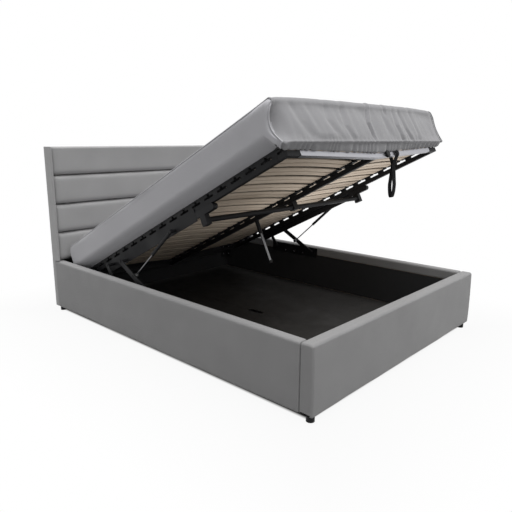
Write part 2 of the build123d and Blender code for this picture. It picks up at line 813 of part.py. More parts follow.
def side_holders(sign):
    """The plastic holders on one side tube, each for two slats."""
    x = (sign * (frame_half - tube_size - holder_seat), sign * (frame_half - holder_inset))
    foot_x = (sign * (frame_half - tube_size), x[1])
    holders = []
    for middle in holder_middles():
        whole = holder(x, foot_x, tube_size + holder_foot_height, holder_slope, middle)
        for place in pair_middles(middle):
            whole -= slat_run(sign, place, slat_slip / 2)
        holders.append(whole)
    return holders


def centre_holders():
    """The plastic holders on the centre tube, each for two slats of both columns."""
    x = (-centre_holder_half_width, centre_holder_half_width)
    foot_x = (-centre_tube_width / 2, centre_tube_width / 2)
    holders = []
    for middle in holder_middles():
        whole = holder(x, foot_x, tube_size - centre_drop + holder_foot_height, centre_holder_slope, middle)
        for place in pair_middles(middle):
            whole -= slat_run(-1, place, slat_slip / 2)
            whole -= slat_run(1, place, slat_slip / 2)
        holders.append(whole)
    return holders


def slats(sign):
    """One column of slats, from the centre holders to the side holders."""
    return [slat_run(sign, place, 0) for middle in holder_middles() for place in pair_middles(middle)]


def cross_tube():
    """The round tube that ties the two sides of the lift together."""
    x = frame_half - tube_size + cross_tube_entry
    return pin((-x, x), cross_tube_along, -cross_tube_drop, cross_tube_radius)


def cross_block(sign):
    """The block under a side tube that takes the cross tube's end."""
    radius = cross_block_end_radius
    y = (cross_tube_along - cross_block_length / 2, top_plate_start - seam_gap)
    inner = frame_half - tube_size - seam_gap
    x = (sign * inner, sign * (inner + cross_block_width))
    body = block(x, (y[0] + radius, y[1]), (-cross_block_drop, 0))
    body += pin(x, y[0] + radius, -cross_block_drop + radius, radius) & block(x, y, (-cross_block_drop, 0))
    lug = block(x, (cross_tube_along - cross_lug_length / 2, cross_tube_along + cross_lug_length / 2),
                (-cross_tube_drop - 2 * cross_tube_radius, 0))
    hole = pin((x[0] - sign * overrun, sign * (frame_half - tube_size + cross_tube_entry)), cross_tube_along,
               -cross_tube_drop, cross_tube_radius)
    return body + lug - hole


def cross_saddle():
    """The block that hangs the cross tube under the centre tube."""
    half = saddle_width / 2
    body = block((-half, half), (cross_tube_along - half, cross_tube_along + half),
                 (-cross_tube_drop - cross_tube_radius - bracket_plate, -centre_drop))
    hole = pin((-half - overrun, half + overrun), cross_tube_along, -cross_tube_drop, cross_tube_radius)
    return body - hole


def leg_sleeve():
    """The black sleeve that the centre leg is held in, with its flange under the centre tube."""
    low = -centre_drop - leg_sleeve_length
    sleeve = upright(0, leg_along, (low, -centre_drop), leg_sleeve_radius)
    sleeve += upright(0, leg_along, (-centre_drop - bracket_plate, -centre_drop), centre_tube_width / 2)
    return sleeve - upright(0, leg_along, (low - overrun, leg_rod_top()), leg_rod_radius)


def leg_rod_top():
    """The height of the leg rod's upper end, inside the sleeve."""
    return -centre_drop - leg_sleeve_length / 2


def leg_end():
    """The height of the leg's lower end below the frame."""
    return -(closed_frame_height - leg_ground_clearance)


def leg_rod():
    """The bright rod of the centre leg."""
    return upright(0, leg_along, (leg_end() + leg_cap_length / 2, leg_rod_top()), leg_rod_radius)


def leg_cap():
    """The rubber cap on the centre leg's lower end."""
    cap = upright(0, leg_along, (leg_end(), leg_end() + leg_cap_length), leg_cap_radius)
    socket = (leg_end() + leg_cap_length / 2, leg_end() + leg_cap_length + overrun)
    return cap - upright(0, leg_along, socket, leg_rod_radius)


# Pull strap, which hangs upright from the lifted foot tube


def tube_axis():
    """The middle of the lifted foot tube at the strap, in Y and Z."""
    rise = tube_size / 2 - end_tube_fall(strap_place)
    return framed(tube_size / 2, rise, open_tilt, open_foot_y, open_foot_z)


def strap_path_offset(distance):
    """A closed YZ outline of the strap's loop at a distance outside its inner face."""
    wrap = tube_size * sqrt(0.5) + strap_wrap_gap
    grip = strap_grip_gap / 2
    neck = -wrap - strap_neck_length
    narrow = strap_neck_gap / 2 + distance
    low = -strap_length + wrap + grip
    outline = [
        Line((wrap + distance, 0), (narrow, neck)),
        Line((narrow, neck), (grip + distance, neck - strap_spread_length)),
        Line((grip + distance, neck - strap_spread_length), (grip + distance, low)),
        ThreePointArc((grip + distance, low), (0, low - grip - distance), (-grip - distance, low)),
    ]
    left = [mirror(edge, Plane.YZ) for edge in outline[:3]]
    top = ThreePointArc((wrap + distance, 0), (0, wrap + distance), (-wrap - distance, 0))
    return make_face(Wire([part.edge() for part in outline + left] + [top]))


def pull_strap():
    """The webbing loop round the foot tube, with its hand opening at the lower end."""
    section = strap_path_offset(strap_thickness) - strap_path_offset(0)
    y, z = tube_axis()
    x = strap_place - strap_width / 2
    return Pos(x, y, z) * extrude(Plane.YZ * section, strap_width)


def strap_anchor():
    """The round knob on the foot tube beside the strap, level like the frame."""
    stud = Pos(anchor_place, -anchor_reach / 2, tube_size / 2 - end_tube_fall(anchor_place)) * Rot(90, 0, 0)
    knob = stud * Cylinder(anchor_radius, anchor_reach)
    return fillet(knob.faces().sort_by(Axis.Y)[0].edges(), anchor_stud_radius)


def write_parts():
    """Write every node of the bed."""
    for sign, side in ((-1, "left"), (1, "right")):
        board, cover = side_rail(sign)
        save(f"side_rail_board_{side}", board)
        save(f"side_rail_cover_{side}", cover)
        save(f"floor_panel_{side}", floor_panel(sign))
        save(f"lift_base_bracket_{side}", base_bracket(sign))
        save(f"lift_arm_{side}", lift_arm(sign))
        save(f"rear_link_{side}", rear_link(sign))
        save(f"lift_top_plate_{side}", lifted * top_plate_solid(sign))
        save(f"strut_cylinder_{side}", strut_cylinder(sign))
        save(f"strut_rod_{side}", strut_rod(sign))
        save(f"frame_side_tube_{side}", lifted * side_tube(sign))
        save(f"slat_holders_{side}", *[lifted * holder for holder in side_holders(sign)])
        save(f"slats_{side}", *[lifted * slat for slat in slats(sign)])
        save(f"cross_block_{side}", lifted * cross_block(sign))
    board, cover = footboard()
    save("footboard_board", board)
    save("footboard_cover", cover)
    save("headboard_board", head_board())
    save("headboard_filler", head_filler())
    save("headboard_surround", head_surround())
    save("headboard_back_cloth", head_back_cloth())
    for index in range(channel_count):
        save(f"headboard_channel_{index + 1}", head_channel(index))
    corners = [(sign, end) for sign in (-1, 1) for end in (-1, 1)]
    save("cavity_lining", *linings())
    save("floor_ledges", *floor_ledges())
    save("floor_battens", *floor_battens())
    save("batten_feet", *batten_feet())
    save("corner_feet", *corner_feet())
    save("corner_brackets", *[corner_bracket(*corner) for corner in corners])
    save("corner_bolts", *[bolt for corner in corners for bolt in corner_bolts(*corner)])
    save("rest_brackets", rest_bracket(-1), rest_bracket(1))
    save("rest_pads", rest_pad(-1), rest_pad(1))
    save("base_bracket_bolts", *[bolt for sign in (-1, 1) for bolt in base_bolts(sign)])
    save("frame_corners", *[lifted * frame_corner(*corner) for corner in corners])
    save("frame_foot_tube", lifted * end_tube(0))
    save("frame_head_tube", lifted * end_tube(frame_length - tube_size))
    save("frame_centre_tube", lifted * centre_tube())
    save("slat_holders_centre", *[lifted * holder for holder in centre_holders()])
    save("cross_tube", lifted * cross_tube())
    save("cross_saddle", lifted * cross_saddle())
    save("leg_sleeve", lifted * leg_sleeve())
    save("leg_rod", lifted * leg_rod())
    save("leg_cap", lifted * leg_cap())
    save("strap_anchor", lifted * strap_anchor())
    save("pull_strap", pull_strap())
    save("mattress", lifted * mattress())


def print_joints():
    """Print the pivots in metres and the turns and strokes from open to closed."""
    rear_open = degrees(atan2(rear_open_z - rear_base_z, rear_open_y - rear_base_y))
    rear_closed = degrees(atan2(rear_closed_z - rear_base_z, rear_closed_y - rear_base_y))
    axis_y, axis_z = tube_axis()
    for name, y, z in (("arm base", base_y, base_z), ("arm top", arm_top_y, arm_top_z),
                       ("rear base", rear_base_y, rear_base_z), ("rear top", rear_open_y, rear_open_z),
                       ("strut top", strut_top_y, strut_top_z), ("strut seat", strut_seat_y, strut_seat_z),
                       ("strap", axis_y, axis_z), ("frame foot end", open_foot_y, open_foot_z)):
        print(f"{name}: y {y / 1000:.6f} z {z / 1000:.6f}")
    print("arm turn", arm_closed_angle - arm_open_angle, "frame turn", open_tilt)
    print("rear link turn", rear_closed - rear_open)
    print("strut turn", strut_closed_angle - strut_angle, "strut angle", strut_angle)
    print("strut stroke mm", strut_stroke, "open length mm", strut_open_length)


write_parts()
print_joints()
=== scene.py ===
"""Dresses the ottoman storage bed: upholstery, mattress cover, webbing, wood, steel and plastic.

Lengths are in metres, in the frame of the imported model: X across the bed, Y from the footboard to the
headboard, Z up. Along and rise are counted on the slatted frame, from its foot end and its underside.
"""
import json
import math

import bmesh
import bpy
import numpy as np
from mathutils import Matrix, Vector


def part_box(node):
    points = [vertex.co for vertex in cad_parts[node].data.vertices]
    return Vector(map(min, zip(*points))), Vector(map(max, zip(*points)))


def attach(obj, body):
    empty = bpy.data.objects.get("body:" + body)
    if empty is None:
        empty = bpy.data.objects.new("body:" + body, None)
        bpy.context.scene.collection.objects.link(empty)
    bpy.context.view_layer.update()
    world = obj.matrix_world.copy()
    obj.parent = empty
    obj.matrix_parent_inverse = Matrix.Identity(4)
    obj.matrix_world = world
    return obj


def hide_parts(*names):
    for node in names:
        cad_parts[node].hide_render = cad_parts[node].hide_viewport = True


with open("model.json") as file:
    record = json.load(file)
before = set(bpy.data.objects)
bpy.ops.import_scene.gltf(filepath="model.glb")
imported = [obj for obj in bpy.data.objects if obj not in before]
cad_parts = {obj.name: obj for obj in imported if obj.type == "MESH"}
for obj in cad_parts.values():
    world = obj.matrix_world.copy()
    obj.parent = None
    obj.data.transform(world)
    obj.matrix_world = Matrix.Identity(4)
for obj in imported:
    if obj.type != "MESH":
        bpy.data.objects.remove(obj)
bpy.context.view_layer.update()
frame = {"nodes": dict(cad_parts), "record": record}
nodes = frame["nodes"]

# The lifted frame's tilt and its tubes' size, the threads of the cloths, and how near points are welded
frame_tilt = math.radians(26.33)
tube_size = 0.025
cover_thread, mattress_thread = 0.0011, 0.0008
weld_reach = 2e-5

corners_low, corners_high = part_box("frame_corners")
frame_foot_y = corners_low.y
frame_foot_z = corners_high.z - tube_size * math.cos(frame_tilt)


def on_frame(x, along, rise):
    """Points of the level frame, turned up by its tilt about its foot end's lower edge and lifted to it."""
    y = frame_foot_y + along * math.cos(frame_tilt) + rise * math.sin(frame_tilt)
    z = frame_foot_z - along * math.sin(frame_tilt) + rise * math.cos(frame_tilt)
    return np.stack(np.broadcast_arrays(x, y, z), -1)


# Mesh building


def smooth_step(value, start, end):
    """0 before start, 1 after end, and 3t2 - 2t3 between them; start may be the larger."""
    t = np.clip((value - start) / (end - start), 0, 1)
    return t * t * (3 - 2 * t)


def drift(u, v, length, seed, waves=14):
    """A smooth uneven field: the sum of sine waves of about this length, each with a direction and a phase
    drawn from the seed, over the root of their number."""
    draw = np.random.default_rng(seed)
    turn = draw.uniform(0, math.pi, waves)
    step = 2 * math.pi / (length * draw.uniform(0.7, 1.5, waves))
    phase = draw.uniform(0, 2 * math.pi, waves)
    total = sum(np.sin(k * (np.cos(a) * u + np.sin(a) * v) + p) for a, k, p in zip(turn, step, phase))
    return total / math.sqrt(waves)


def grid_faces(rows, columns, start):
    """The quads of a grid of points, as indices counted from start."""
    corner = start + np.arange(rows - 1)[:, None] * columns + np.arange(columns - 1)[None, :]
    return np.stack([corner, corner + 1, corner + columns + 1, corner + columns], -1).reshape(-1, 4)


def piece(name, sheets, caps, material, body, replaces=(), sharp=50):
    """One mesh from sheets, each a grid of points with a grid of UV in metres, and caps, each a ring of
    points with its UV. Edges that meet are welded, and faces are turned outwards."""
    points, maps, faces, count = [], [], [], 0
    for grid, uv in sheets:
        rows, columns = grid.shape[:2]
        faces += grid_faces(rows, columns, count).tolist()
        points.append(grid.reshape(-1, 3))
        maps.append(np.broadcast_to(uv, (rows, columns, 2)).reshape(-1, 2))
        count += rows * columns
    for ring, uv in caps:
        faces.append(list(range(count, count + len(ring))))
        points.append(ring)
        maps.append(uv)
        count += len(ring)
    points, maps = np.concatenate(points), np.concatenate(maps)
    mesh = bpy.data.meshes.new(name)
    mesh.from_pydata(points, [], faces)
    corners = np.zeros(len(mesh.loops), np.int32)
    mesh.loops.foreach_get("vertex_index", corners)
    layer = mesh.uv_layers.new(name="metres")
    layer.data.foreach_set("uv", maps[corners].astype(np.float32).ravel())
    shape = bmesh.new()
    shape.from_mesh(mesh)
    bmesh.ops.remove_doubles(shape, verts=shape.verts, dist=weld_reach)
    bmesh.ops.dissolve_degenerate(shape, edges=shape.edges, dist=weld_reach / 2)
    bmesh.ops.recalc_face_normals(shape, faces=shape.faces)
    shape.to_mesh(mesh)
    shape.free()
    mesh.polygons.foreach_set("use_smooth", np.ones(len(mesh.polygons), bool))
    mesh.set_sharp_from_angle(angle=math.radians(sharp))
    mesh.materials.append(material)
    made = bpy.data.objects.new(name, mesh)
    bpy.context.scene.collection.objects.link(made)
    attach(made, body)
    if replaces:
        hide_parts(*replaces)
    return made


def straight(start, end, count):
    """Points on a straight line, the last one left out."""
    share = np.arange(count)[:, None] / count
    return np.array(start) + share * (np.array(end) - np.array(start))


def bend(centre, radius, start, end, count):
    """Points on an arc about a centre between two angles in degrees, the last one left out."""
    turn = np.radians(start + np.arange(count) / count * (end - start))
    return np.array(centre) + radius * np.stack([np.cos(turn), np.sin(turn)], -1)


def outward(loop):
    """Unit normals of closed anticlockwise outlines in a plane, pointing outwards."""
    step = np.roll(loop, -1, -2) - np.roll(loop, 1, -2)
    normal = np.stack([step[..., 1], -step[..., 0]], -1)
    return normal / np.maximum(np.linalg.norm(normal, axis=-1, keepdims=True), 1e-9)


def closed(grid):
    """A grid whose first column is repeated at its end, so that its rows close."""
    return np.concatenate([grid, grid[:, :1]], 1)


def lengths(loop):
    """The distance along a closed outline from its first point to each point and back to the first."""
    step = np.linalg.norm(np.roll(loop, -1, 0) - loop, axis=1)
    return np.concatenate([[0], np.cumsum(step)])


# Finishes


def material(name, colour, roughness, metallic=0.0, sheen=0.0):
    """A new material with these values on its shader, with its node tree and its shader."""
    made = bpy.data.materials.new(name)
    made.use_nodes = True
    tree = made.node_tree
    shader = tree.nodes["Principled BSDF"]
    shader.inputs["Base Color"].default_value = (*colour, 1)
    shader.inputs["Roughness"].default_value = roughness
    shader.inputs["Metallic"].default_value = metallic
    shader.inputs["Sheen Weight"].default_value = sheen
    return made, tree, shader


def node(tree, kind, **values):
    """A new node with named inputs or settings."""
    made = tree.nodes.new(kind)
    for key, value in values.items():
        if key in made.inputs:
            made.inputs[key].default_value = value
        else:
            setattr(made, key, value)
    return made


def coordinates(tree, source, scale=(1, 1, 1), turn=(0, 0, 0)):
    """Object or UV coordinates, turned and scaled."""
    place = node(tree, "ShaderNodeTexCoord")
    fit = node(tree, "ShaderNodeMapping", Scale=scale, Rotation=turn)
    tree.links.new(place.outputs[source], fit.inputs["Vector"])
    return fit.outputs["Vector"]


def noise(tree, vector, scale, detail=3.0, roughness=0.5):
    """The value of a noise texture, 0 to 1."""
    made = node(tree, "ShaderNodeTexNoise", Scale=scale, Detail=detail, Roughness=roughness)
    tree.links.new(vector, made.inputs["Vector"])
    return made.outputs["Fac"]


def between(tree, value, low, high, to_low, to_high):
    """A value carried from one range to another and held at its ends."""
    made = node(tree, "ShaderNodeMapRange")
    made.inputs["From Min"].default_value = low
    made.inputs["From Max"].default_value = high
    made.inputs["To Min"].default_value = to_low
    made.inputs["To Max"].default_value = to_high
    tree.links.new(value, made.inputs["Value"])
    return made.outputs["Result"]


def combined(tree, operation, first, second):
    """The result of a sum, product or other operation on two values."""
    made = node(tree, "ShaderNodeMath", operation=operation)
    for socket, value in zip(made.inputs, (first, second)):
        if isinstance(value, (int, float)):
            socket.default_value = value
        else:
            tree.links.new(value, socket)
    return made.outputs["Value"]


def weighed(tree, first, second, share):
    """A share of the first value and the rest of the second, added."""
    return combined(tree, "ADD", combined(tree, "MULTIPLY", first, share),
                    combined(tree, "MULTIPLY", second, 1 - share))


def shade_by(tree, shader, value, dark, light):
    """Colour the shader between a dark and a light colour by a value from 0 to 1."""
    mix = node(tree, "ShaderNodeMix", data_type="RGBA")
    tree.links.new(value, mix.inputs["Factor"])
    for socket in mix.inputs:
        if socket.type == "RGBA":
            socket.default_value = (*(dark if socket.name == "A" else light), 1)
    result = next(socket for socket in mix.outputs if socket.type == "RGBA")
    tree.links.new(result, shader.inputs["Base Color"])


def raise_by(tree, shader, value, distance, strength=1.0):
    """Bump the shader's normal by a height from 0 to 1 times a distance."""
    bump = node(tree, "ShaderNodeBump", Strength=strength, Distance=distance)
    tree.links.new(value, bump.inputs["Height"])
    tree.links.new(bump.outputs["Normal"], shader.inputs["Normal"])


def bands(tree, vector, pitch, direction):
    """Parallel threads of this pitch, as a height from 0 to 1. A band texture repeats each pi/10 over
    its scale."""
    made = node(tree, "ShaderNodeTexWave", bands_direction=direction)
    made.inputs["Scale"].default_value = math.pi / 10 / pitch
    tree.links.new(vector, made.inputs["Vector"])
    return made.outputs["Fac"]


def scaled(colour, factor):
    """A colour made lighter or darker."""
    return tuple(channel * factor for channel in colour)


def woven(name, colour, pitch, mottle=0.12, height=0.0003, sheen=0.3):
    """Woven cloth: warp and weft bands of one pitch, flecked by fine noise and clouded by broad noise."""
    made, tree, shader = material(name, colour, 0.9, sheen=sheen)
    shader.inputs["Sheen Roughness"].default_value = 0.5
    shader.inputs["Specular IOR Level"].default_value = 0.25
    uv = coordinates(tree, "UV")
    weave = combined(tree, "MULTIPLY", bands(tree, uv, pitch, "X"), bands(tree, uv, pitch, "Y"))
    fleck = noise(tree, uv, 0.35 / pitch, 2.0)
    cloud = noise(tree, coordinates(tree, "Object"), 5.0, 3.0)
    tone = combined(tree, "ADD", between(tree, fleck, 0.25, 0.75, 0, 0.5),
                    between(tree, cloud, 0.3, 0.7, 0, 0.3))
    tone = combined(tree, "ADD", tone, combined(tree, "MULTIPLY", weave, 0.2))
    shade_by(tree, shader, tone, scaled(colour, 1 - mottle), scaled(colour, 1 + mottle))
    raise_by(tree, shader, combined(tree, "ADD", weave, combined(tree, "MULTIPLY", fleck, 0.5)), height, 0.6)
    return made


def felt(name, colour):
    """Matted dark cloth: fine noise over coarse noise, with no direction."""
    made, tree, shader = material(name, colour, 0.95, sheen=0.15)
    place = coordinates(tree, "Object")
    fibre = noise(tree, place, 900, 4.0, 0.7)
    tuft = noise(tree, place, 60, 3.0)
    tone = weighed(tree, fibre, tuft, 0.6)
    shade_by(tree, shader, tone, scaled(colour, 0.6), scaled(colour, 1.5))
    raise_by(tree, shader, tone, 0.0006, 0.5)
    return made


def wood(name, light, dark, turn, grain_scale, roughness=0.6):
    """Timber with its grain along X: noise drawn out along the grain, with darker pores and flecks."""
    made, tree, shader = material(name, light, roughness)
    grain = noise(tree, coordinates(tree, "Object", grain_scale, turn), 1.0, 6.0, 0.6)
    pores = noise(tree, coordinates(tree, "Object", scaled(grain_scale, 6), turn), 1.0, 2.0)
    broad = noise(tree, coordinates(tree, "Object", (0.8, 9, 9), turn), 1.0, 1.0)
    tone = weighed(tree, grain, broad, 0.6)
    tone = combined(tree, "SUBTRACT", tone, between(tree, pores, 0.62, 0.72, 0, 0.25))
    shade_by(tree, shader, between(tree, tone, 0.3, 0.7, 0, 1), dark, light)
    raise_by(tree, shader, combined(tree, "SUBTRACT", grain, pores), 0.0003, 0.4)
    return made


def coated(name, colour, roughness, grain, height, metallic=0.0, spread=0.12, gloss=0.5):
    """Painted, moulded or plated stuff: a fine grain in the surface and a slow change of its gloss."""
    made, tree, shader = material(name, colour, roughness, metallic)
    shader.inputs["Specular IOR Level"].default_value = gloss
    place = coordinates(tree, "Object")
    fine = noise(tree, place, grain, 3.0)
    slow = noise(tree, place, 7.0, 2.0)
    shade_by(tree, shader, slow, scaled(colour, 0.85), scaled(colour, 1.15))
    tree.links.new(between(tree, slow, 0.3, 0.7, roughness - spread, roughness + spread),
                   shader.inputs["Roughness"])
    raise_by(tree, shader, fine, height, 0.5)
    return made


def brushed(name, colour, roughness, scale):
    """Bright metal with fine lines drawn out along one axis by the scale."""
    made, tree, shader = material(name, colour, roughness, 1.0)
    lines = noise(tree, coordinates(tree, "Object", scale), 1.0, 4.0, 0.7)
    tree.links.new(between(tree, lines, 0.3, 0.7, roughness - 0.1, roughness + 0.12),
                   shader.inputs["Roughness"])
    shade_by(tree, shader, lines, scaled(colour, 0.9), colour)
    raise_by(tree, shader, lines, 0.0001, 0.3)
    return made


def ribbed_webbing(name, colour, pitch):
    """Strap webbing: ribs across its width and a finer thread along it, read from its UV."""
    made, tree, shader = material(name, colour, 0.8)
    shader.inputs["Specular IOR Level"].default_value = 0.08
    uv = coordinates(tree, "UV")
    ribs = combined(tree, "MULTIPLY", bands(tree, uv, pitch, "Y"), bands(tree, uv, pitch / 2, "X"))
    shade_by(tree, shader, ribs, scaled(colour, 0.8), scaled(colour, 1.3))
    raise_by(tree, shader, ribs, 0.0004)
    return made


# Greys of the cloths, in the order of the rails, the headboard, the mattress and its side panels. The
# headboard's grey is the rails' cloth painted lighter, and the side panels' grey is the mattress's cloth
# painted lighter: painted light where the lamps light them less.
cover_grey = (0.252, 0.250, 0.252)
headboard_painted_light_grey = (0.385, 0.383, 0.385)
mattress_grey = (0.282, 0.280, 0.290)
side_painted_light_grey = (0.450, 0.447, 0.468)
frame_turn = (frame_tilt, 0, 0)
finishes = {
    "cover_fabric": woven("cover cloth", cover_grey, cover_thread),
    "mattress_fabric": woven("mattress cloth", mattress_grey, mattress_thread, 0.07, 0.0002, 0.35),
    "lining_fabric": felt("black felt", (0.011, 0.011, 0.012)),
    "board_wood": wood("raw board", (0.46, 0.33, 0.20), (0.27, 0.18, 0.10), (0, 0, 0), (3, 40, 40)),
    "floor_board": coated("black hardboard", (0.025, 0.024, 0.023), 0.6, 1400, 0.0002, gloss=0.22),
    "slat_wood": wood("birch slat", (0.66, 0.565, 0.46), (0.42, 0.335, 0.255), frame_turn, (3, 90, 90)),
    "black_steel": coated("black powder coat", (0.011, 0.011, 0.012), 0.5, 1600, 0.00012, gloss=0.14),
    "silver_steel": brushed("satin silver", (0.50, 0.50, 0.53), 0.44, (8, 500, 500)),
    "strut_rod_steel": brushed("dark bright rod", (0.22, 0.22, 0.225), 0.3, (700, 30, 30)),
    "black_plastic": coated("black moulding", (0.010, 0.010, 0.011), 0.55, 2200, 0.0001, gloss=0.18),
    "rubber_pad": coated("black rubber", (0.012, 0.012, 0.012), 0.75, 1200, 0.0002, gloss=0.3),
    "zinc_steel": coated("zinc plate", (0.45, 0.45, 0.46), 0.4, 900, 0.00005, 1.0),
    "webbing": ribbed_webbing("black webbing", (0.010, 0.010, 0.011), 0.0022),
}
# painted light: the headboard takes a lighter copy of the rails' cloth, for light that the lamps give it less
# of
headboard_painted_light_cloth = woven("headboard cloth painted lighter", headboard_painted_light_grey, cover_thread)
# painted light: the side panels take a lighter copy of the mattress's cloth, for side light that the lamps
# don't give
side_painted_light_cloth = woven("mattress side cloth painted lighter", side_painted_light_grey, mattress_thread, 0.06, 0.0002, 0.35)


# Mattress

# Its half width, and the places of its foot, head, underside and top in along and rise
mattress_half = 0.7465
mattress_foot, mattress_head = -0.036, 1.941
mattress_low, mattress_high = 0.0515, 0.246
# The side seam's distance from the middle, along the top and along the bottom
mattress_seam, under_seam = 0.738, 0.692
# The hem's ridge on the foot face, and the lower edge of the gathered strip under it
hem_rise, hem_low = 0.046, 0.025
# How far the foot tube falls from the ends of its run to the middle of the bed, and half that run
tube_fall, tube_run = 0.026, 0.607
# Creases of the foot face: points of their path in X and rise, their width and their depth
foot_creases = [
    ([(-0.014, 0.242), (-0.046, 0.148), (-0.030, 0.060)], 0.0075, 0.0085),
    ([(0.235, 0.225), (0.222, 0.138), (0.258, 0.048)], 0.013, 0.0060),
    ([(0.300, 0.215), (0.318, 0.120), (0.360, 0.048)], 0.012, 0.0055),
    ([(0.142, 0.242), (0.150, 0.200)], 0.009, 0.0045),
    ([(0.120, 0.180), (0.132, 0.100)], 0.018, 0.0040),
    ([(-0.372, 0.225), (-0.385, 0.150), (-0.350, 0.085)], 0.020, 0.0050),
    ([(-0.245, 0.230), (-0.262, 0.126), (-0.225, 0.060)], 0.016, 0.0050),
    ([(-0.610, 0.215), (-0.585, 0.140), (-0.540, 0.070)], 0.024, 0.0045),
    ([(0.420, 0.230), (0.430, 0.140), (0.455, 0.050)], 0.016, 0.0040),
]


def mattress_outline():
    """The mattress's outline in along and rise, from the middle of its underside towards the foot: straight
    runs joined by arcs, with a gathered hem that hangs in front of the foot tube and a radius at the head."""
    top_radius, head_radius, low_radius = 0.022, 0.055, 0.05
    middle, fine_start, hem_start = 0.9, 0.12, 0.036
    hem_back, hem_front = -0.003, -0.007
    low, high, foot, head = mattress_low, mattress_high, mattress_foot, mattress_head
    under_ridge, over_ridge = (foot + 0.004, hem_rise - 0.003), (foot, hem_rise + 0.002)
    runs = [
        straight((middle, low), (fine_start, low), 70),
        straight((fine_start, low), (hem_start, low), 16),
        straight((hem_start, low), (hem_back, hem_low), 10),
        straight((hem_back, hem_low), (hem_front, hem_low), 2),
        straight((hem_front, hem_low), under_ridge, 14),
        straight(under_ridge, over_ridge, 3),
        straight(over_ridge, (foot, high - top_radius), 44),
        bend((foot + top_radius, high - top_radius), top_radius, 180, 90, 10),
        straight((foot + top_radius, high), (head - head_radius, high), 110),
        bend((head - head_radius, high - head_radius), head_radius, 90, 0, 16),
        straight((head, high - head_radius), (head, low + low_radius), 8),
        bend((head - low_radius, low + low_radius), low_radius, 0, -90, 12),
        straight((head - low_radius, low), (middle, low), 80),
    ]
    return np.concatenate(runs)


def crease(x, rise, path, width, depth):
    """A groove along a path on the foot face: a bell curve across it, with a lower and wider one raised on
    its far side. It fades out past the path's ends."""
    fade_past, fade_within = 0.03, 0.02
    ridge_share, ridge_place, ridge_width = 0.6, 2.2, 1.4
    path = np.array(path)
    order = np.argsort(path[:, 1])
    at = np.interp(rise, path[order, 1], path[order, 0])
    lowest, highest = path[:, 1].min(), path[:, 1].max()
    fade = smooth_step(rise, lowest - fade_past, lowest + fade_within)
    fade = fade * smooth_step(rise, highest + fade_past, highest - fade_within)
    gap = (x - at) / width
    ridge = ridge_share * np.exp(-((gap - ridge_place) / ridge_width)**2)
    return depth * fade * (ridge - np.exp(-gap**2))


def mattress_relief(x, rise, foot_side, under_side):
    """How far the cover stands out: a crowned top, broad slanted drapes, creases and a belly on the foot
    face, a ridge along the hem with puckers above it, and gathers below it."""
    crown_height, belly_height, hem_height = 0.009, 0.006, 0.0035
    gather_height, gather_pitch, pucker_height = 0.0046, 0.043, 0.0012
    across = x / mattress_half
    crown = crown_height * (1 - across**4) * smooth_step(rise, mattress_high - 0.04, mattress_high)
    slant = x + 0.22 * (rise - mattress_low)
    drape = 0.0040 * drift(slant, 0.1 * rise, 0.17, 3) + 0.0008 * drift(slant, 0.2 * rise, 0.05, 8)
    drape = drape + 0.003 * drift(x, rise, 0.45, 5)
    face = foot_side * smooth_step(rise, hem_rise, hem_rise + 0.04)
    face = face * smooth_step(rise, mattress_high + 0.01, mattress_high - 0.05)
    total = crown + face * drape
    for path, width, depth in foot_creases:
        total = total + foot_side * crease(x, rise, path, width, depth)
    belly = belly_height * np.sin(np.pi * np.clip((rise - hem_rise) / (mattress_high - hem_rise), 0, 1))
    total = total + foot_side * belly * (1 - across**6)
    hem = hem_height * np.exp(-((rise - hem_rise) / 0.0045)**2)
    phase = 2 * np.pi * x / gather_pitch + 3.0 * drift(x, 0 * x, 0.2, 21)
    fullness = 0.7 + 0.3 * drift(x, 0 * x, 0.15, 22)
    hanging = smooth_step(rise, hem_rise - 0.002, hem_low + 0.008)
    gathers = gather_height * np.sin(phase) * fullness * hanging
    pucker = pucker_height * np.sin(phase) * np.exp(-((rise - hem_rise) / 0.02)**2)
    return total + foot_side * (hem + pucker) + under_side * gathers


def seam_places(along, rise):
    """How far a place is into the roll along the bottom and into the top foot corner, both 0 to 1, and the
    side seam's distance from the middle there."""
    roll_top, corner_draw = 0.105, 0.018
    lower = smooth_step(rise, roll_top, mattress_low)
    lower = lower * smooth_step(along, mattress_foot + 0.01, mattress_foot + 0.10)
    corner = smooth_step(rise, mattress_high - 0.060, mattress_high - 0.004)
    corner = corner * smooth_step(along, 0.10, -0.01)
    return lower, corner, mattress_seam - (mattress_seam - under_seam) * lower - corner_draw * corner


def drawn_in(x, rise, seam_x, foot_side, lower, corner):
    """How far the cover is drawn in towards its side seams: a quarter ellipse along the top edges, a hollow
    beside the foot face's seams, deeper at the left one, and a groove along the cord."""
    inset_depth, inset_reach, corner_reach, steepest = 0.0145, 0.024, 0.022, 0.94
    pull_depth, pull_reach, right_share = 0.038, 0.080, 0.3
    dip_depth, dip_place, dip_width = 0.008, 0.014, 0.014
    groove_depth, groove_place, groove_width = 0.006, 0.006, 0.005
    from_seam = seam_x - np.abs(x)
    reach = np.clip(1 - from_seam / (inset_reach + corner_reach * corner), 0, steepest)
    flat_foot = foot_side * smooth_step(rise, mattress_high - 0.004, mattress_high - 0.050)
    inset = inset_depth * (1 - np.sqrt(1 - reach**2)) * (1 - flat_foot) * (1 - lower)
    inset = inset * (1 - 0.35 * corner)
    waist = np.sin(np.pi * np.clip((rise - 0.03) / 0.20, 0, 1))**1.2
    near = smooth_step(from_seam, pull_reach, 0.0)
    pull = pull_depth * waist * near * foot_side * np.where(x < 0, 1.0, right_share)
    dip = dip_depth * np.exp(-((from_seam - dip_place) / dip_width)**2) * waist * foot_side * (x < 0)
    groove = groove_depth * np.exp(-((from_seam - groove_place) / groove_width)**2)
    return inset + pull + dip + groove


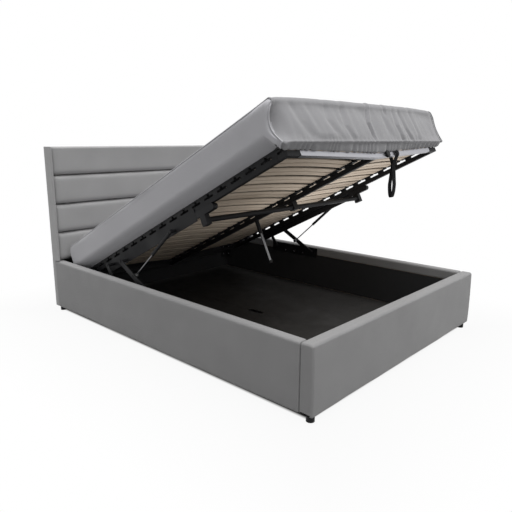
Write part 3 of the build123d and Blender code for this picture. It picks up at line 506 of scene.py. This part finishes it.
def mattress_cover():
    """The cover of the mattress: a band carried across X along its outline and drawn in towards a piped
    seam on each side, with a pillowed panel inside each seam that turns under along the bottom."""
    corner_stand, cord_sunk, cord_foot = 0.006, 0.0012, 0.0028
    loop = mattress_outline()[::-1]
    normal = outward(loop)
    along, rise = loop[:, 0], loop[:, 1]
    foot_side = smooth_step(along, mattress_foot + 0.03, mattress_foot + 0.004)
    foot_side = foot_side * smooth_step(rise, hem_rise - 0.008, hem_rise)
    under_side = smooth_step(along, 0.040, 0.020) * smooth_step(rise, mattress_low, mattress_low - 0.004)
    lower, corner, seam_x = seam_places(along, rise)
    spread = np.linspace(-1, 1, 281)
    spread = np.clip(1.12 * spread - 0.12 * spread**3, -1, 1)
    x = spread[:, None] * seam_x
    stand = mattress_relief(x, rise, foot_side, under_side) * (1 - np.abs(spread)[:, None]**16)
    stand = stand + corner_stand * corner - drawn_in(x, rise, seam_x, foot_side, lower, corner)
    band_along = along + stand * normal[:, 0]
    hang = tube_fall * np.clip(1 - np.abs(x) / tube_run, 0, 1)
    band_rise = rise + stand * normal[:, 1] - hang * smooth_step(rise, hem_rise - 0.003, hem_low)
    around = lengths(loop)
    band_uv = np.stack(np.broadcast_arrays(x, around[:-1]), -1)
    last_uv = np.stack([x[:, 0], np.full(len(spread), around[-1])], -1)
    sheets = [(closed(on_frame(x, band_along, band_rise)), np.concatenate([band_uv, last_uv[:, None]], 1))]
    for row, side in ((0, -1), (-1, 1)):
        seam = np.stack([band_along[row], band_rise[row]], -1)
        sheets.append(side_panel(seam, seam_x, lower, side))
        cord = seam + (cord_sunk + cord_foot * foot_side[:, None]) * normal
        sheets.append(piping(cord, seam_x, side))
    made = piece("mattress_cover", sheets, [], finishes["mattress_fabric"], "slatted_frame",
                 ["mattress"], sharp=60)
    face_panels(made)
    return made


def face_panels(cover):
    """Faces the cover's underside, behind the hem, with black felt as painted shade where the slats shade it,
    and its side panels with a lighter copy of the mattress's cloth as painted light.
    """
    mesh = cover.data
    # painted shade: the black felt darkens the underside that shows between the slats
    mesh.materials.append(finishes["lining_fabric"])
    # painted light: the side panels get the lighter copy of the mattress's cloth
    mesh.materials.append(side_painted_light_cloth)
    centre = np.zeros(3 * len(mesh.polygons), np.float32)
    mesh.polygons.foreach_get("center", centre)
    y, z = centre[1::3] - frame_foot_y, centre[2::3] - frame_foot_z
    along = y * math.cos(frame_tilt) - z * math.sin(frame_tilt)
    rise = y * math.sin(frame_tilt) + z * math.cos(frame_tilt)
    under = (rise < mattress_low + 0.003) & (along > 0.002)
    out = np.abs(centre[0::3])
    side = ~under & (out > seam_places(along, rise)[2] + 0.0005) & (along > mattress_foot + 0.002)
    inner = (out > under_seam) & (along > mattress_foot + 0.04) & (along < mattress_head - 0.03)
    side = side | (inner & (rise > mattress_low + 0.004) & (rise < mattress_high - 0.02))
    side = side & (rise < mattress_high - 0.002)
    mesh.polygons.foreach_set("material_index", (under + 2 * side).astype(np.int32))


def side_panel(seam, seam_x, lower, side):
    """A pillowed panel inside a seam: rows that shrink from the seam to a line down its middle. They stand
    out quickly near the upper seam, roll under slowly above the lower one, and hollow along the panel's
    length."""
    rows = (0, 0.01, 0.025, 0.045, 0.07, 0.1, 0.14, 0.19, 0.24, 0.3, 0.36, 0.42, 0.48, 0.54, 0.6, 0.66, 0.72,
            0.8, 0.9, 1.0)
    quick_reach, roll_reach, roll_power = 0.1, 0.72, 2.2
    hollow_depth, uneven_depth, turned_under = 0.0035, 0.0014, 0.04
    share = np.array(rows)[:, None]
    half_rise = (mattress_high - mattress_low) / 2
    heart_along = np.clip(seam[:, 0], mattress_foot + half_rise, mattress_head - half_rise)
    heart_rise = np.full_like(heart_along, mattress_low + half_rise)
    along = seam[:, 0] * (1 - share) + heart_along * share
    rise = seam[:, 1] * (1 - share) + heart_rise * share
    quick = 1 - np.exp(-share / quick_reach)
    rolled = 1 - (1 - np.clip(share / roll_reach, 0, 1))**roll_power
    out = quick * (1 - lower) + rolled * lower
    middle = (mattress_foot + mattress_head) / 2
    hollow = hollow_depth * (1 - ((along - middle) / middle)**2) * smooth_step(share, 0.0, 0.3)
    uneven = uneven_depth * drift(along, rise, 0.35, 30 + side) * smooth_step(share, 0.0, 0.2)
    x = side * (seam_x + (mattress_half - seam_x) * out - hollow + uneven)
    uv = np.stack([along, rise - turned_under * lower * (1 - out)], -1)
    return closed(on_frame(x, along, rise)), closed(uv)


def piping(path, seam_x, side):
    """A round cord sewn into the seam: a circle carried along the seam's closed path."""
    radius, turns, past_seam = 0.0034, 9, 0.001
    step = np.roll(path, -1, 0) - np.roll(path, 1, 0)
    step = step / np.linalg.norm(step, axis=1, keepdims=True)
    out = np.stack([step[:, 1], -step[:, 0]], -1)
    turn = np.linspace(0, 2 * np.pi, turns)
    centre = path + radius * np.cos(turn)[:, None, None] * out
    x = side * (seam_x + past_seam) + radius * np.sin(turn)[:, None]
    grid = on_frame(x, centre[..., 0], centre[..., 1])
    distance = lengths(path)
    uv = np.stack(np.broadcast_arrays(distance[:-1], radius * turn[:, None]), -1)
    last = np.stack([np.full(turns, distance[-1]), radius * turn], -1)
    return closed(grid), np.concatenate([uv, last[:, None]], 1)


# Upholstered rails, footboard and headboard

# The rounding of the side and foot covers' tops, and where the lip that they turn down inside ends
cover_radius = 0.013
lining_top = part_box("side_rail_board_left")[1].z - 0.042


def carried(loop, stations, inset, place):
    """A closed outline, or one for each station, carried along a line: at each station it is drawn in by an
    inset along its own normals, and place puts its two coordinates and the station into the frame. With
    its end caps."""
    drawn = np.broadcast_to(loop, (len(stations), *loop.shape[-2:]))
    drawn = drawn - inset[:, :, None] * outward(drawn)
    grid = place(drawn[..., 0], drawn[..., 1], stations[:, None])
    distance = lengths(drawn[len(stations) // 2])
    uv = np.stack(np.broadcast_arrays(distance, stations[:, None]), -1)
    caps = [(grid[row], drawn[row]) for row in (0, -1)]
    return (closed(grid), uv), caps


def end_rounding(stations, radius):
    """How far a section is drawn in near both ends of its run: a quarter circle of this radius."""
    room = np.minimum(stations - stations[0], stations[-1] - stations)
    reach = np.clip(1 - room / radius, 0, 1)
    return radius * (1 - np.sqrt(1 - reach**2))


def end_stations(start, end, radius, count):
    """Stations along a run: evenly spaced between its ends, and closer together where they are rounded."""
    turn = np.linspace(0, np.pi / 2, 7)[:-1]
    first = start + radius * (1 - np.cos(turn))
    last = end - radius * (1 - np.cos(turn))
    return np.concatenate([first, np.linspace(start + radius, end - radius, count), last[::-1]])


def cover_outline(width, height, pocket_in, pocket_out, pocket_top, lip, top_radius, solid=False):
    """A padded board's section, anticlockwise from the inner lip's foot: outer face at X = width, inner
    face at X = 0, with a pocket from below for the board and a lip over its inner edge. A solid one has
    the same number of points without the pocket."""
    hem = 0.004
    pocket = [
        straight((0, lip + hem), (hem / 2, lip), 2),
        straight((hem / 2, lip), (pocket_in, lip), 2),
        straight((pocket_in, lip), (pocket_in, pocket_top), 6),
        straight((pocket_in, pocket_top), (pocket_out, pocket_top), 6),
        straight((pocket_out, pocket_top), (pocket_out, 0), 20),
        straight((pocket_out, 0), (width - hem, 0), 4),
    ]
    if solid:
        pocket = [straight((0, lip + hem), (0, hem), 26), straight((0, hem), (hem, 0), 2),
                  straight((hem, 0), (width - hem, 0), 12)]
    runs = [
        straight((0, height - top_radius), (0, lip + hem), 16),
        *pocket,
        bend((width - hem, hem), hem, -90, 0, 4),
        straight((width, hem), (width, height - top_radius), 40),
        bend((width - top_radius, height - top_radius), top_radius, 0, 90, 10),
        straight((width - top_radius, height), (top_radius, height), 8),
        bend((top_radius, height - top_radius), top_radius, 90, 180, 10),
    ]
    return np.concatenate(runs)


def padding(loop, stations, height, depth, seed):
    """How far the cloth stands out over its foam: a shallow crown on the outer face, and a broad and a fine
    unevenness."""
    crown_height, broad_height, fine_height = 0.0035, 0.0009, 0.0004
    rise, run = loop[:, 1][None], stations[:, None]
    outer = smooth_step(loop[:, 0], depth - 0.008, depth - 0.001)[None]
    crown = crown_height * np.sin(np.pi * np.clip(rise / height, 0, 1))**0.6
    uneven = broad_height * drift(run, rise, 0.5, seed) + fine_height * drift(run, rise, 0.16, seed + 1)
    return outer * (crown + uneven)


def outer_share(loop, width):
    """1 on the faces that show, 0 in the board's pocket, for a section of this width."""
    shown = smooth_step(loop[:, 0], width - 0.014, width - 0.004)
    top = smooth_step(loop[:, 1], loop[:, 1].max() - 0.03, loop[:, 1].max() - 0.012)
    return np.maximum(shown, top)[None]


def rail_cover(side, sign):
    """A side rail's cover: its section carried along Y between the footboard and the headboard. Its foot
    end is rounded where it shows, and its head end on its outer face alone."""
    low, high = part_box(f"side_rail_cover_{side}")
    board_low, board_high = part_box(f"side_rail_board_{side}")
    inner_x, outer_x = sorted((abs(low.x), abs(high.x)))
    board_in, board_out = sorted((abs(board_low.x), abs(board_high.x)))
    height, width = high.z - low.z, outer_x - inner_x
    loop = cover_outline(width, height, board_in - inner_x, board_out - inner_x,
                         board_high.z - low.z, lining_top - low.z, cover_radius)
    radius, head_share = 0.007, 0.9
    stations = end_stations(low.y, high.y, radius, 140)
    head_end = smooth_step(stations, high.y - 2 * radius, high.y - radius)[:, None]
    outer_face = smooth_step(loop[:, 0], width - 0.006, width - 0.001)[None]
    shown = outer_share(loop, width) * (1 - head_end) + head_share * outer_face * head_end
    inset = end_rounding(stations, radius)[:, None] * shown
    inset = inset - padding(loop, stations, height, width, 40 + sign)

    def place(across, up, run):
        return np.stack(np.broadcast_arrays(sign * (inner_x + across), run, low.z + up), -1)

    sheet, caps = carried(loop, stations, inset, place)
    made = piece(f"rail_cover_{side}", [sheet], caps, finishes["cover_fabric"], "bed_base",
                 [f"side_rail_cover_{side}"])


def footboard_cover():
    """The footboard's cover: its section carried along X, with solid ends that close the side rails."""
    low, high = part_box("footboard_cover")
    board_low, board_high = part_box("footboard_board")
    depth, height = high.y - low.y, high.z - low.z
    sizes = (depth, height, high.y - board_high.y, high.y - board_low.y, board_high.z - low.z,
             lining_top - low.z, cover_radius)
    hollow, solid = cover_outline(*sizes), cover_outline(*sizes, solid=True)
    radius, step = 0.011, 0.0005
    pocket_ends = [-board_high.x - step, -board_high.x, board_high.x, board_high.x + step]
    stations = np.sort(np.concatenate([end_stations(low.x, high.x, radius, 150), pocket_ends]))
    past = np.abs(stations) > board_high.x + step / 2
    loops = np.where(past[:, None, None], solid, hollow)
    inset = end_rounding(stations, radius)[:, None] - padding(hollow, stations, height, depth, 50)

    def place(across, up, run):
        return np.stack(np.broadcast_arrays(run, high.y - across, low.z + up), -1)

    sheet, caps = carried(loops, stations, inset, place)
    made = piece("footboard_cover_cloth", [sheet], caps, finishes["cover_fabric"], "bed_base",
                 ["footboard_cover"])


# Heights of the seams between the headboard's channels
channel_seams = (0.5405, 0.7275, 0.9145)


def channel_fall(x, v, width, height, depth, is_top):
    """How far a channel's front falls back: nearly its whole depth at the seams between channels, by a
    flattened power curve, and a little way, by quarter ellipses, where it meets the edge panels at its
    sides and over the top channel."""
    side_reach, side_depth = 0.045, 0.024
    top_reach, top_depth = 0.012, 0.012
    seam_rest, flatness, steepness = 0.005, 9, 0.40
    side = np.clip(1 - (width / 2 - np.abs(x)) / side_reach, 0, 1)
    side_fall = side_depth * (1 - np.sqrt(1 - side**2))
    fall = (depth - seam_rest) * (1 - np.clip(1 - np.abs(v)**flatness, 0, 1)**steepness)
    if is_top:
        reach = np.clip(1 - (1 - v) * height / 2 / top_reach, 0, 1)
        fall = np.where(v > 0, top_depth * (1 - np.sqrt(1 - reach**2)), fall)
    return np.maximum(fall, 0) + side_fall * np.clip(1 - fall / depth, 0, 1)


def headboard_channels():
    """The padded channels: each front is a pillow, slightly uneven and puckered where it is sewn, over a
    flat back. Its points crowd towards its edges, by a sine."""
    gap, crown_gap = 0.0006, 0.001
    pucker_height, pucker_reach, uneven_height, wave_height = 0.0008, 0.011, 0.0012, 0.0010
    lowest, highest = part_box("headboard_channel_1")[0].z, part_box("headboard_surround")[1].z
    levels = (lowest, *channel_seams, highest)
    across = np.linspace(-1, 1, 161)
    across = np.sin(across * np.pi / 2) * 0.35 + across * 0.65
    up = np.linspace(-1, 1, 49)
    up = np.sin(up * np.pi / 2) * 0.6 + up * 0.4
    u, v = np.meshgrid(across, up, indexing="ij")
    for index in range(4):
        name = f"headboard_channel_{index + 1}"
        low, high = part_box(name)
        bottom, top = levels[index] + gap, levels[index + 1] - gap
        width, height, depth = high.x - low.x, top - bottom, high.y - low.y
        x, z = u * width / 2, v * height / 2
        fall = channel_fall(x, v, width, height, depth, is_top=index == 3)
        near_seam = np.exp(-(1 - np.abs(v)) * height / 2 / pucker_reach)
        pucker = pucker_height * near_seam * drift(x, 8 * np.sign(v), 0.03, 60 + index)
        uneven = uneven_height * drift(x, z, 0.3, 70 + index)
        y = low.y + crown_gap + fall - (pucker + uneven) * (1 - fall / depth)
        wave = wave_height * drift(x, 0 * x, 0.35, 80) * np.sign(v) * np.abs(v)**6 * (np.abs(v) < 0.999)
        front = np.stack([x, y, (bottom + top) / 2 + z + wave], -1)
        back = front.copy()
        back[..., 1] = high.y
        rim = [np.stack([front[0], back[0]]), np.stack([front[-1], back[-1]]),
               np.stack([front[:, 0], back[:, 0]]), np.stack([front[:, -1], back[:, -1]])]
        uv = np.stack([x, z + index * height], -1)
        sheets = [(front, uv), (back, uv)] + [(strip, strip[..., [0, 2]]) for strip in rim]
        # painted light: the channels take the lighter copy of the rails' cloth
        made = piece(f"channel_cloth_{index + 1}", sheets, [], headboard_painted_light_cloth, "bed_base",
                     [name], sharp=70)


def headboard_edge():
    """The padded edge panel: a rounded section carried up one side, over the top and down the other, whose
    front steps back below the side rails' tops, and along the top where the upper channel covers it."""
    low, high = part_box("headboard_surround")
    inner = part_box("headboard_channel_1")[1].x
    inner_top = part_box("headboard_board")[1].z
    rail_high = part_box("side_rail_cover_left")[1]
    rail_top, rail_end = rail_high.z, rail_high.y + 0.001
    step, top_set_back, pillow_height = 0.002, 0.024, 0.0015
    heights = [low.z, rail_top, rail_top + step, *np.linspace(rail_top + 0.01, inner_top - step, 60)]
    path = [(-1, 0, -inner, z) for z in heights]
    path += [(-1, 1, -inner, inner_top)]
    path += [(0, 1, x, inner_top) for x in np.linspace(-inner + step, inner - step, 120)]
    path += [(1, 1, inner, inner_top)]
    path += [(1, 0, inner, z) for z in heights[::-1]]
    path = np.array(path, float)
    out, base = path[:, :2], path[:, 2:]
    turn = np.linspace(0, 2 * np.pi, 57)[:-1]
    rounded = np.sign(np.cos(turn)) * np.abs(np.cos(turn))**0.35
    deep = np.sign(np.sin(turn)) * np.abs(np.sin(turn))**0.14
    reach, share = (rounded + 1) / 2, (1 - deep) / 2
    front = np.where(base[:, 1] < rail_top + 0.001, rail_end, low.y)
    front = np.where(np.abs(base[:, 0]) < inner - 0.001, low.y + top_set_back, front)
    offset = reach[None, :, None] * out[:, None, :] * np.array([high.x - inner, high.z - inner_top])
    x = base[:, 0][:, None] + offset[..., 0]
    z = base[:, 1][:, None] + offset[..., 1]
    y = front[:, None] + share[None] * (high.y - front[:, None])
    distance = np.concatenate([[0], np.cumsum(np.linalg.norm(np.diff(base, axis=0), axis=1))])
    pillow = pillow_height * np.clip(rounded, 0, 1)[None] * (1 + drift(distance[:, None], y, 0.4, 90))
    x = x + pillow * out[:, :1] * 0.3
    grid = np.stack([x, y, z], -1)
    uv = np.stack(np.broadcast_arrays(distance[:, None], 0.1 * np.append(turn, 2 * np.pi)), -1)
    caps = [(grid[row], np.stack([grid[row, :, 0], grid[row, :, 1]], -1)) for row in (0, -1)]
    # painted light: the edge panel takes the lighter copy of the rails' cloth
    made = piece("headboard_edge_cloth", [(closed(grid), uv)], caps, headboard_painted_light_cloth, "bed_base",
                 ["headboard_surround"])


# Pull strap


def strap():
    """The webbing loop: its path goes over the foot tube, down to the neck, round the hand opening and
    back up, and a flat section with round edges is carried along it."""
    thickness, grip, pinch = 0.0026, 0.0133, 0.0023
    neck_drop, opening_drop = 0.034, 0.104
    low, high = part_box("pull_strap")
    width, middle_x, middle_y = high.x - low.x, (high.x + low.x) / 2, (high.y + low.y) / 2
    reach = (high.y - low.y - thickness) / 2
    axis_z = high.z - reach - thickness / 2
    lowest = low.z + thickness / 2 - axis_z
    neck = thickness / 2 - reach - neck_drop
    opening = neck - opening_drop
    curve = np.linspace(0, np.pi / 2, 15)[:-1]
    right = np.concatenate([
        bend((0, 0), reach, 90, 0, 10),
        straight((reach, 0), (pinch, neck), 10),
        straight((pinch, neck), (grip, opening), 12),
        np.stack([grip * np.cos(curve), opening + (lowest - opening) * np.sin(curve)], -1),
    ])
    left = right[:0:-1] * [-1, 1]
    loop = np.concatenate([right, [[0, lowest]], left])
    step = np.roll(loop, -1, 0) - np.roll(loop, 1, 0)
    step = step / np.linalg.norm(step, axis=1, keepdims=True)
    out = np.stack([-step[:, 1], step[:, 0]], -1)
    turn = np.linspace(0, 2 * np.pi, 17)
    flat = np.sign(np.cos(turn)) * np.abs(np.cos(turn))**0.3 * width / 2
    thick = np.sign(np.sin(turn)) * np.abs(np.sin(turn))**0.6 * thickness / 2
    point = loop[:, None] + thick[None, :, None] * out[:, None]
    x = middle_x + np.broadcast_to(flat, point.shape[:2])
    grid = np.stack([x, middle_y + point[..., 0], axis_z + point[..., 1]], -1)
    grid = np.concatenate([grid, grid[:1]], 0)
    uv = np.stack(np.broadcast_arrays(flat + 0.1, lengths(loop)[:, None]), -1)
    piece("strap_webbing", [(grid, uv)], [], finishes["webbing"], "pull_strap", ["pull_strap"])


# Finish of the carried-over parts

# Their edges that show, by the width that is rounded off
rounded_edges = {
    0.0030: ["frame_corners"],
    0.0025: ["frame_side_tube_left", "frame_side_tube_right", "frame_foot_tube", "frame_head_tube",
             "frame_centre_tube", "slats_left", "slats_right"],
    0.0020: ["cross_block_left", "cross_block_right", "cross_saddle"],
    0.0012: ["slat_holders_left", "slat_holders_right", "slat_holders_centre"],
    0.0010: ["lift_arm_left", "lift_arm_right", "rear_link_left", "rear_link_right"],
}


def soften(name, width):
    """Round the edges of a carried-over part: its loose triangles are welded and its corners bevelled."""
    part = nodes[name]
    weld = part.modifiers.new("weld", "WELD")
    weld.merge_threshold = 1e-5
    edge = part.modifiers.new("edges", "BEVEL")
    edge.width = width
    edge.segments = 2
    edge.limit_method = "ANGLE"
    edge.angle_limit = math.radians(40)


def finish_parts():
    """Give each carried-over part the finish of its record slot, and round the edges that show."""
    for row in frame["record"]["subparts"]:
        part = nodes[row["node"]]
        part.data.materials.clear()
        part.data.materials.append(finishes[row["material_slot"]])
    for width, names in rounded_edges.items():
        for name in names:
            soften(name, width)


# Stage, light and camera


def floor_finish():
    """The floor: matt grey to the light, so that it keeps shadows, and to the camera and the metal a share
    of white that is none under the bed, nearly whole beside it and whole further off."""
    bed_half_width, bed_half_length = 0.81, 1.09
    near_share, white_from = 0.94, 0.7
    made, tree, shader = material("pale floor", (0.22, 0.22, 0.22), 0.9)
    shader.inputs["Specular IOR Level"].default_value = 0.1
    glow = node(tree, "ShaderNodeEmission", Color=(1, 1, 1, 1), Strength=1.0)
    path = node(tree, "ShaderNodeLightPath")
    seen = combined(tree, "MAXIMUM", path.outputs["Is Camera Ray"], path.outputs["Is Glossy Ray"])
    split = node(tree, "ShaderNodeSeparateXYZ")
    tree.links.new(node(tree, "ShaderNodeTexCoord").outputs["Object"], split.inputs["Vector"])
    out_x = combined(tree, "SUBTRACT", combined(tree, "ABSOLUTE", split.outputs["X"], 0), bed_half_width)
    out_y = combined(tree, "SUBTRACT", combined(tree, "ABSOLUTE", split.outputs["Y"], 0), bed_half_length)
    away = combined(tree, "MAXIMUM", out_x, out_y)
    share = combined(tree, "MULTIPLY", between(tree, away, -0.05, -0.03, 0, 1),
                     between(tree, away, 0, white_from, near_share, 1))
    mix = node(tree, "ShaderNodeMixShader")
    tree.links.new(combined(tree, "MULTIPLY", seen, share), mix.inputs[0])
    tree.links.new(shader.outputs[0], mix.inputs[1])
    tree.links.new(glow.outputs[0], mix.inputs[2])
    tree.links.new(mix.outputs[0], tree.nodes["Material Output"].inputs["Surface"])
    return made


def stage():
    """A wide pale floor, under a sky that the camera and the metal see as white."""
    half, fill_strength = 14.0, 0.50
    corners = [(-half, -half, 0), (half, -half, 0), (half, half, 0), (-half, half, 0)]
    mesh = bpy.data.meshes.new("floor")
    mesh.from_pydata(corners, [], [(0, 1, 2, 3)])
    floor = bpy.data.objects.new("floor", mesh)
    bpy.context.scene.collection.objects.link(floor)
    mesh.materials.append(floor_finish())
    world = bpy.data.worlds.new("studio")
    bpy.context.scene.world = world
    world.use_nodes = True
    sky = world.node_tree
    sky.nodes.clear()
    fill = node(sky, "ShaderNodeBackground", Color=(1, 1, 1, 1), Strength=fill_strength)
    white = node(sky, "ShaderNodeBackground", Color=(1, 1, 1, 1), Strength=1.0)
    path = node(sky, "ShaderNodeLightPath")
    seen = combined(sky, "MAXIMUM", path.outputs["Is Camera Ray"], path.outputs["Is Glossy Ray"])
    seen = combined(sky, "MAXIMUM", seen, path.outputs["Is Transmission Ray"])
    mix = node(sky, "ShaderNodeMixShader")
    sky.links.new(seen, mix.inputs[0])
    sky.links.new(fill.outputs[0], mix.inputs[1])
    sky.links.new(white.outputs[0], mix.inputs[2])
    out = node(sky, "ShaderNodeOutputWorld")
    sky.links.new(mix.outputs[0], out.inputs["Surface"])


def lamp(name, towards, strength, spread):
    """A far soft lamp that shines in a direction, with this spread in degrees."""
    data = bpy.data.lights.new(name, "SUN")
    data.energy = strength
    data.angle = math.radians(spread)
    made = bpy.data.objects.new(name, data)
    made.rotation_mode = "QUATERNION"
    made.rotation_quaternion = Vector(towards).to_track_quat("-Z", "Y")
    bpy.context.scene.collection.objects.link(made)


def bounce_card(place, width, length, strength):
    """A soft upward lamp inside the open storage box, in place of the light that a studio's cards throw
    there. Neither the camera nor the metal sees it."""
    data = bpy.data.lights.new("bounce card", "AREA")
    data.shape = "RECTANGLE"
    data.size, data.size_y = width, length
    data.energy = strength
    made = bpy.data.objects.new("bounce card", data)
    made.location = place
    made.rotation_euler = (math.pi, 0, 0)
    made.visible_camera = False
    made.visible_glossy = False
    bpy.context.scene.collection.objects.link(made)


def camera():
    """The photograph's viewpoint: its place, its azimuth from +Y towards +X, its fall below the horizon,
    its roll and its lens."""
    place = Vector((-2.378, -2.242, 1.151))
    azimuth, fall, roll = (math.radians(angle) for angle in (46.996, 12.681, -0.236))
    data = bpy.data.cameras.new("camera")
    data.lens = 36.71
    data.sensor_width = 36.0
    data.clip_end = 60.0
    level_forward = Vector((math.sin(azimuth), math.cos(azimuth), 0))
    level = Vector((math.cos(azimuth), -math.sin(azimuth), 0))
    forward = level_forward * math.cos(fall) - Vector((0, 0, math.sin(fall)))
    down = forward.cross(level)
    right = level * math.cos(roll) + down * math.sin(roll)
    up = level * math.sin(roll) - down * math.cos(roll)
    turn = Matrix((right, up, -forward)).transposed().to_4x4()
    made = bpy.data.objects.new("camera", data)
    made.matrix_world = Matrix.Translation(place) @ turn
    bpy.context.scene.collection.objects.link(made)
    bpy.context.scene.camera = made


finish_parts()
mattress_cover()
rail_cover("left", -1)
rail_cover("right", 1)
footboard_cover()
headboard_channels()
headboard_edge()
strap()
stage()
lamp("key", (0.06, 0.20, -1.0), 3.0, 50)
bounce_card((0.36, -0.56, 0.36), 0.9, 0.8, 5.0)
camera()
bpy.context.scene.view_settings.view_transform = "Standard"
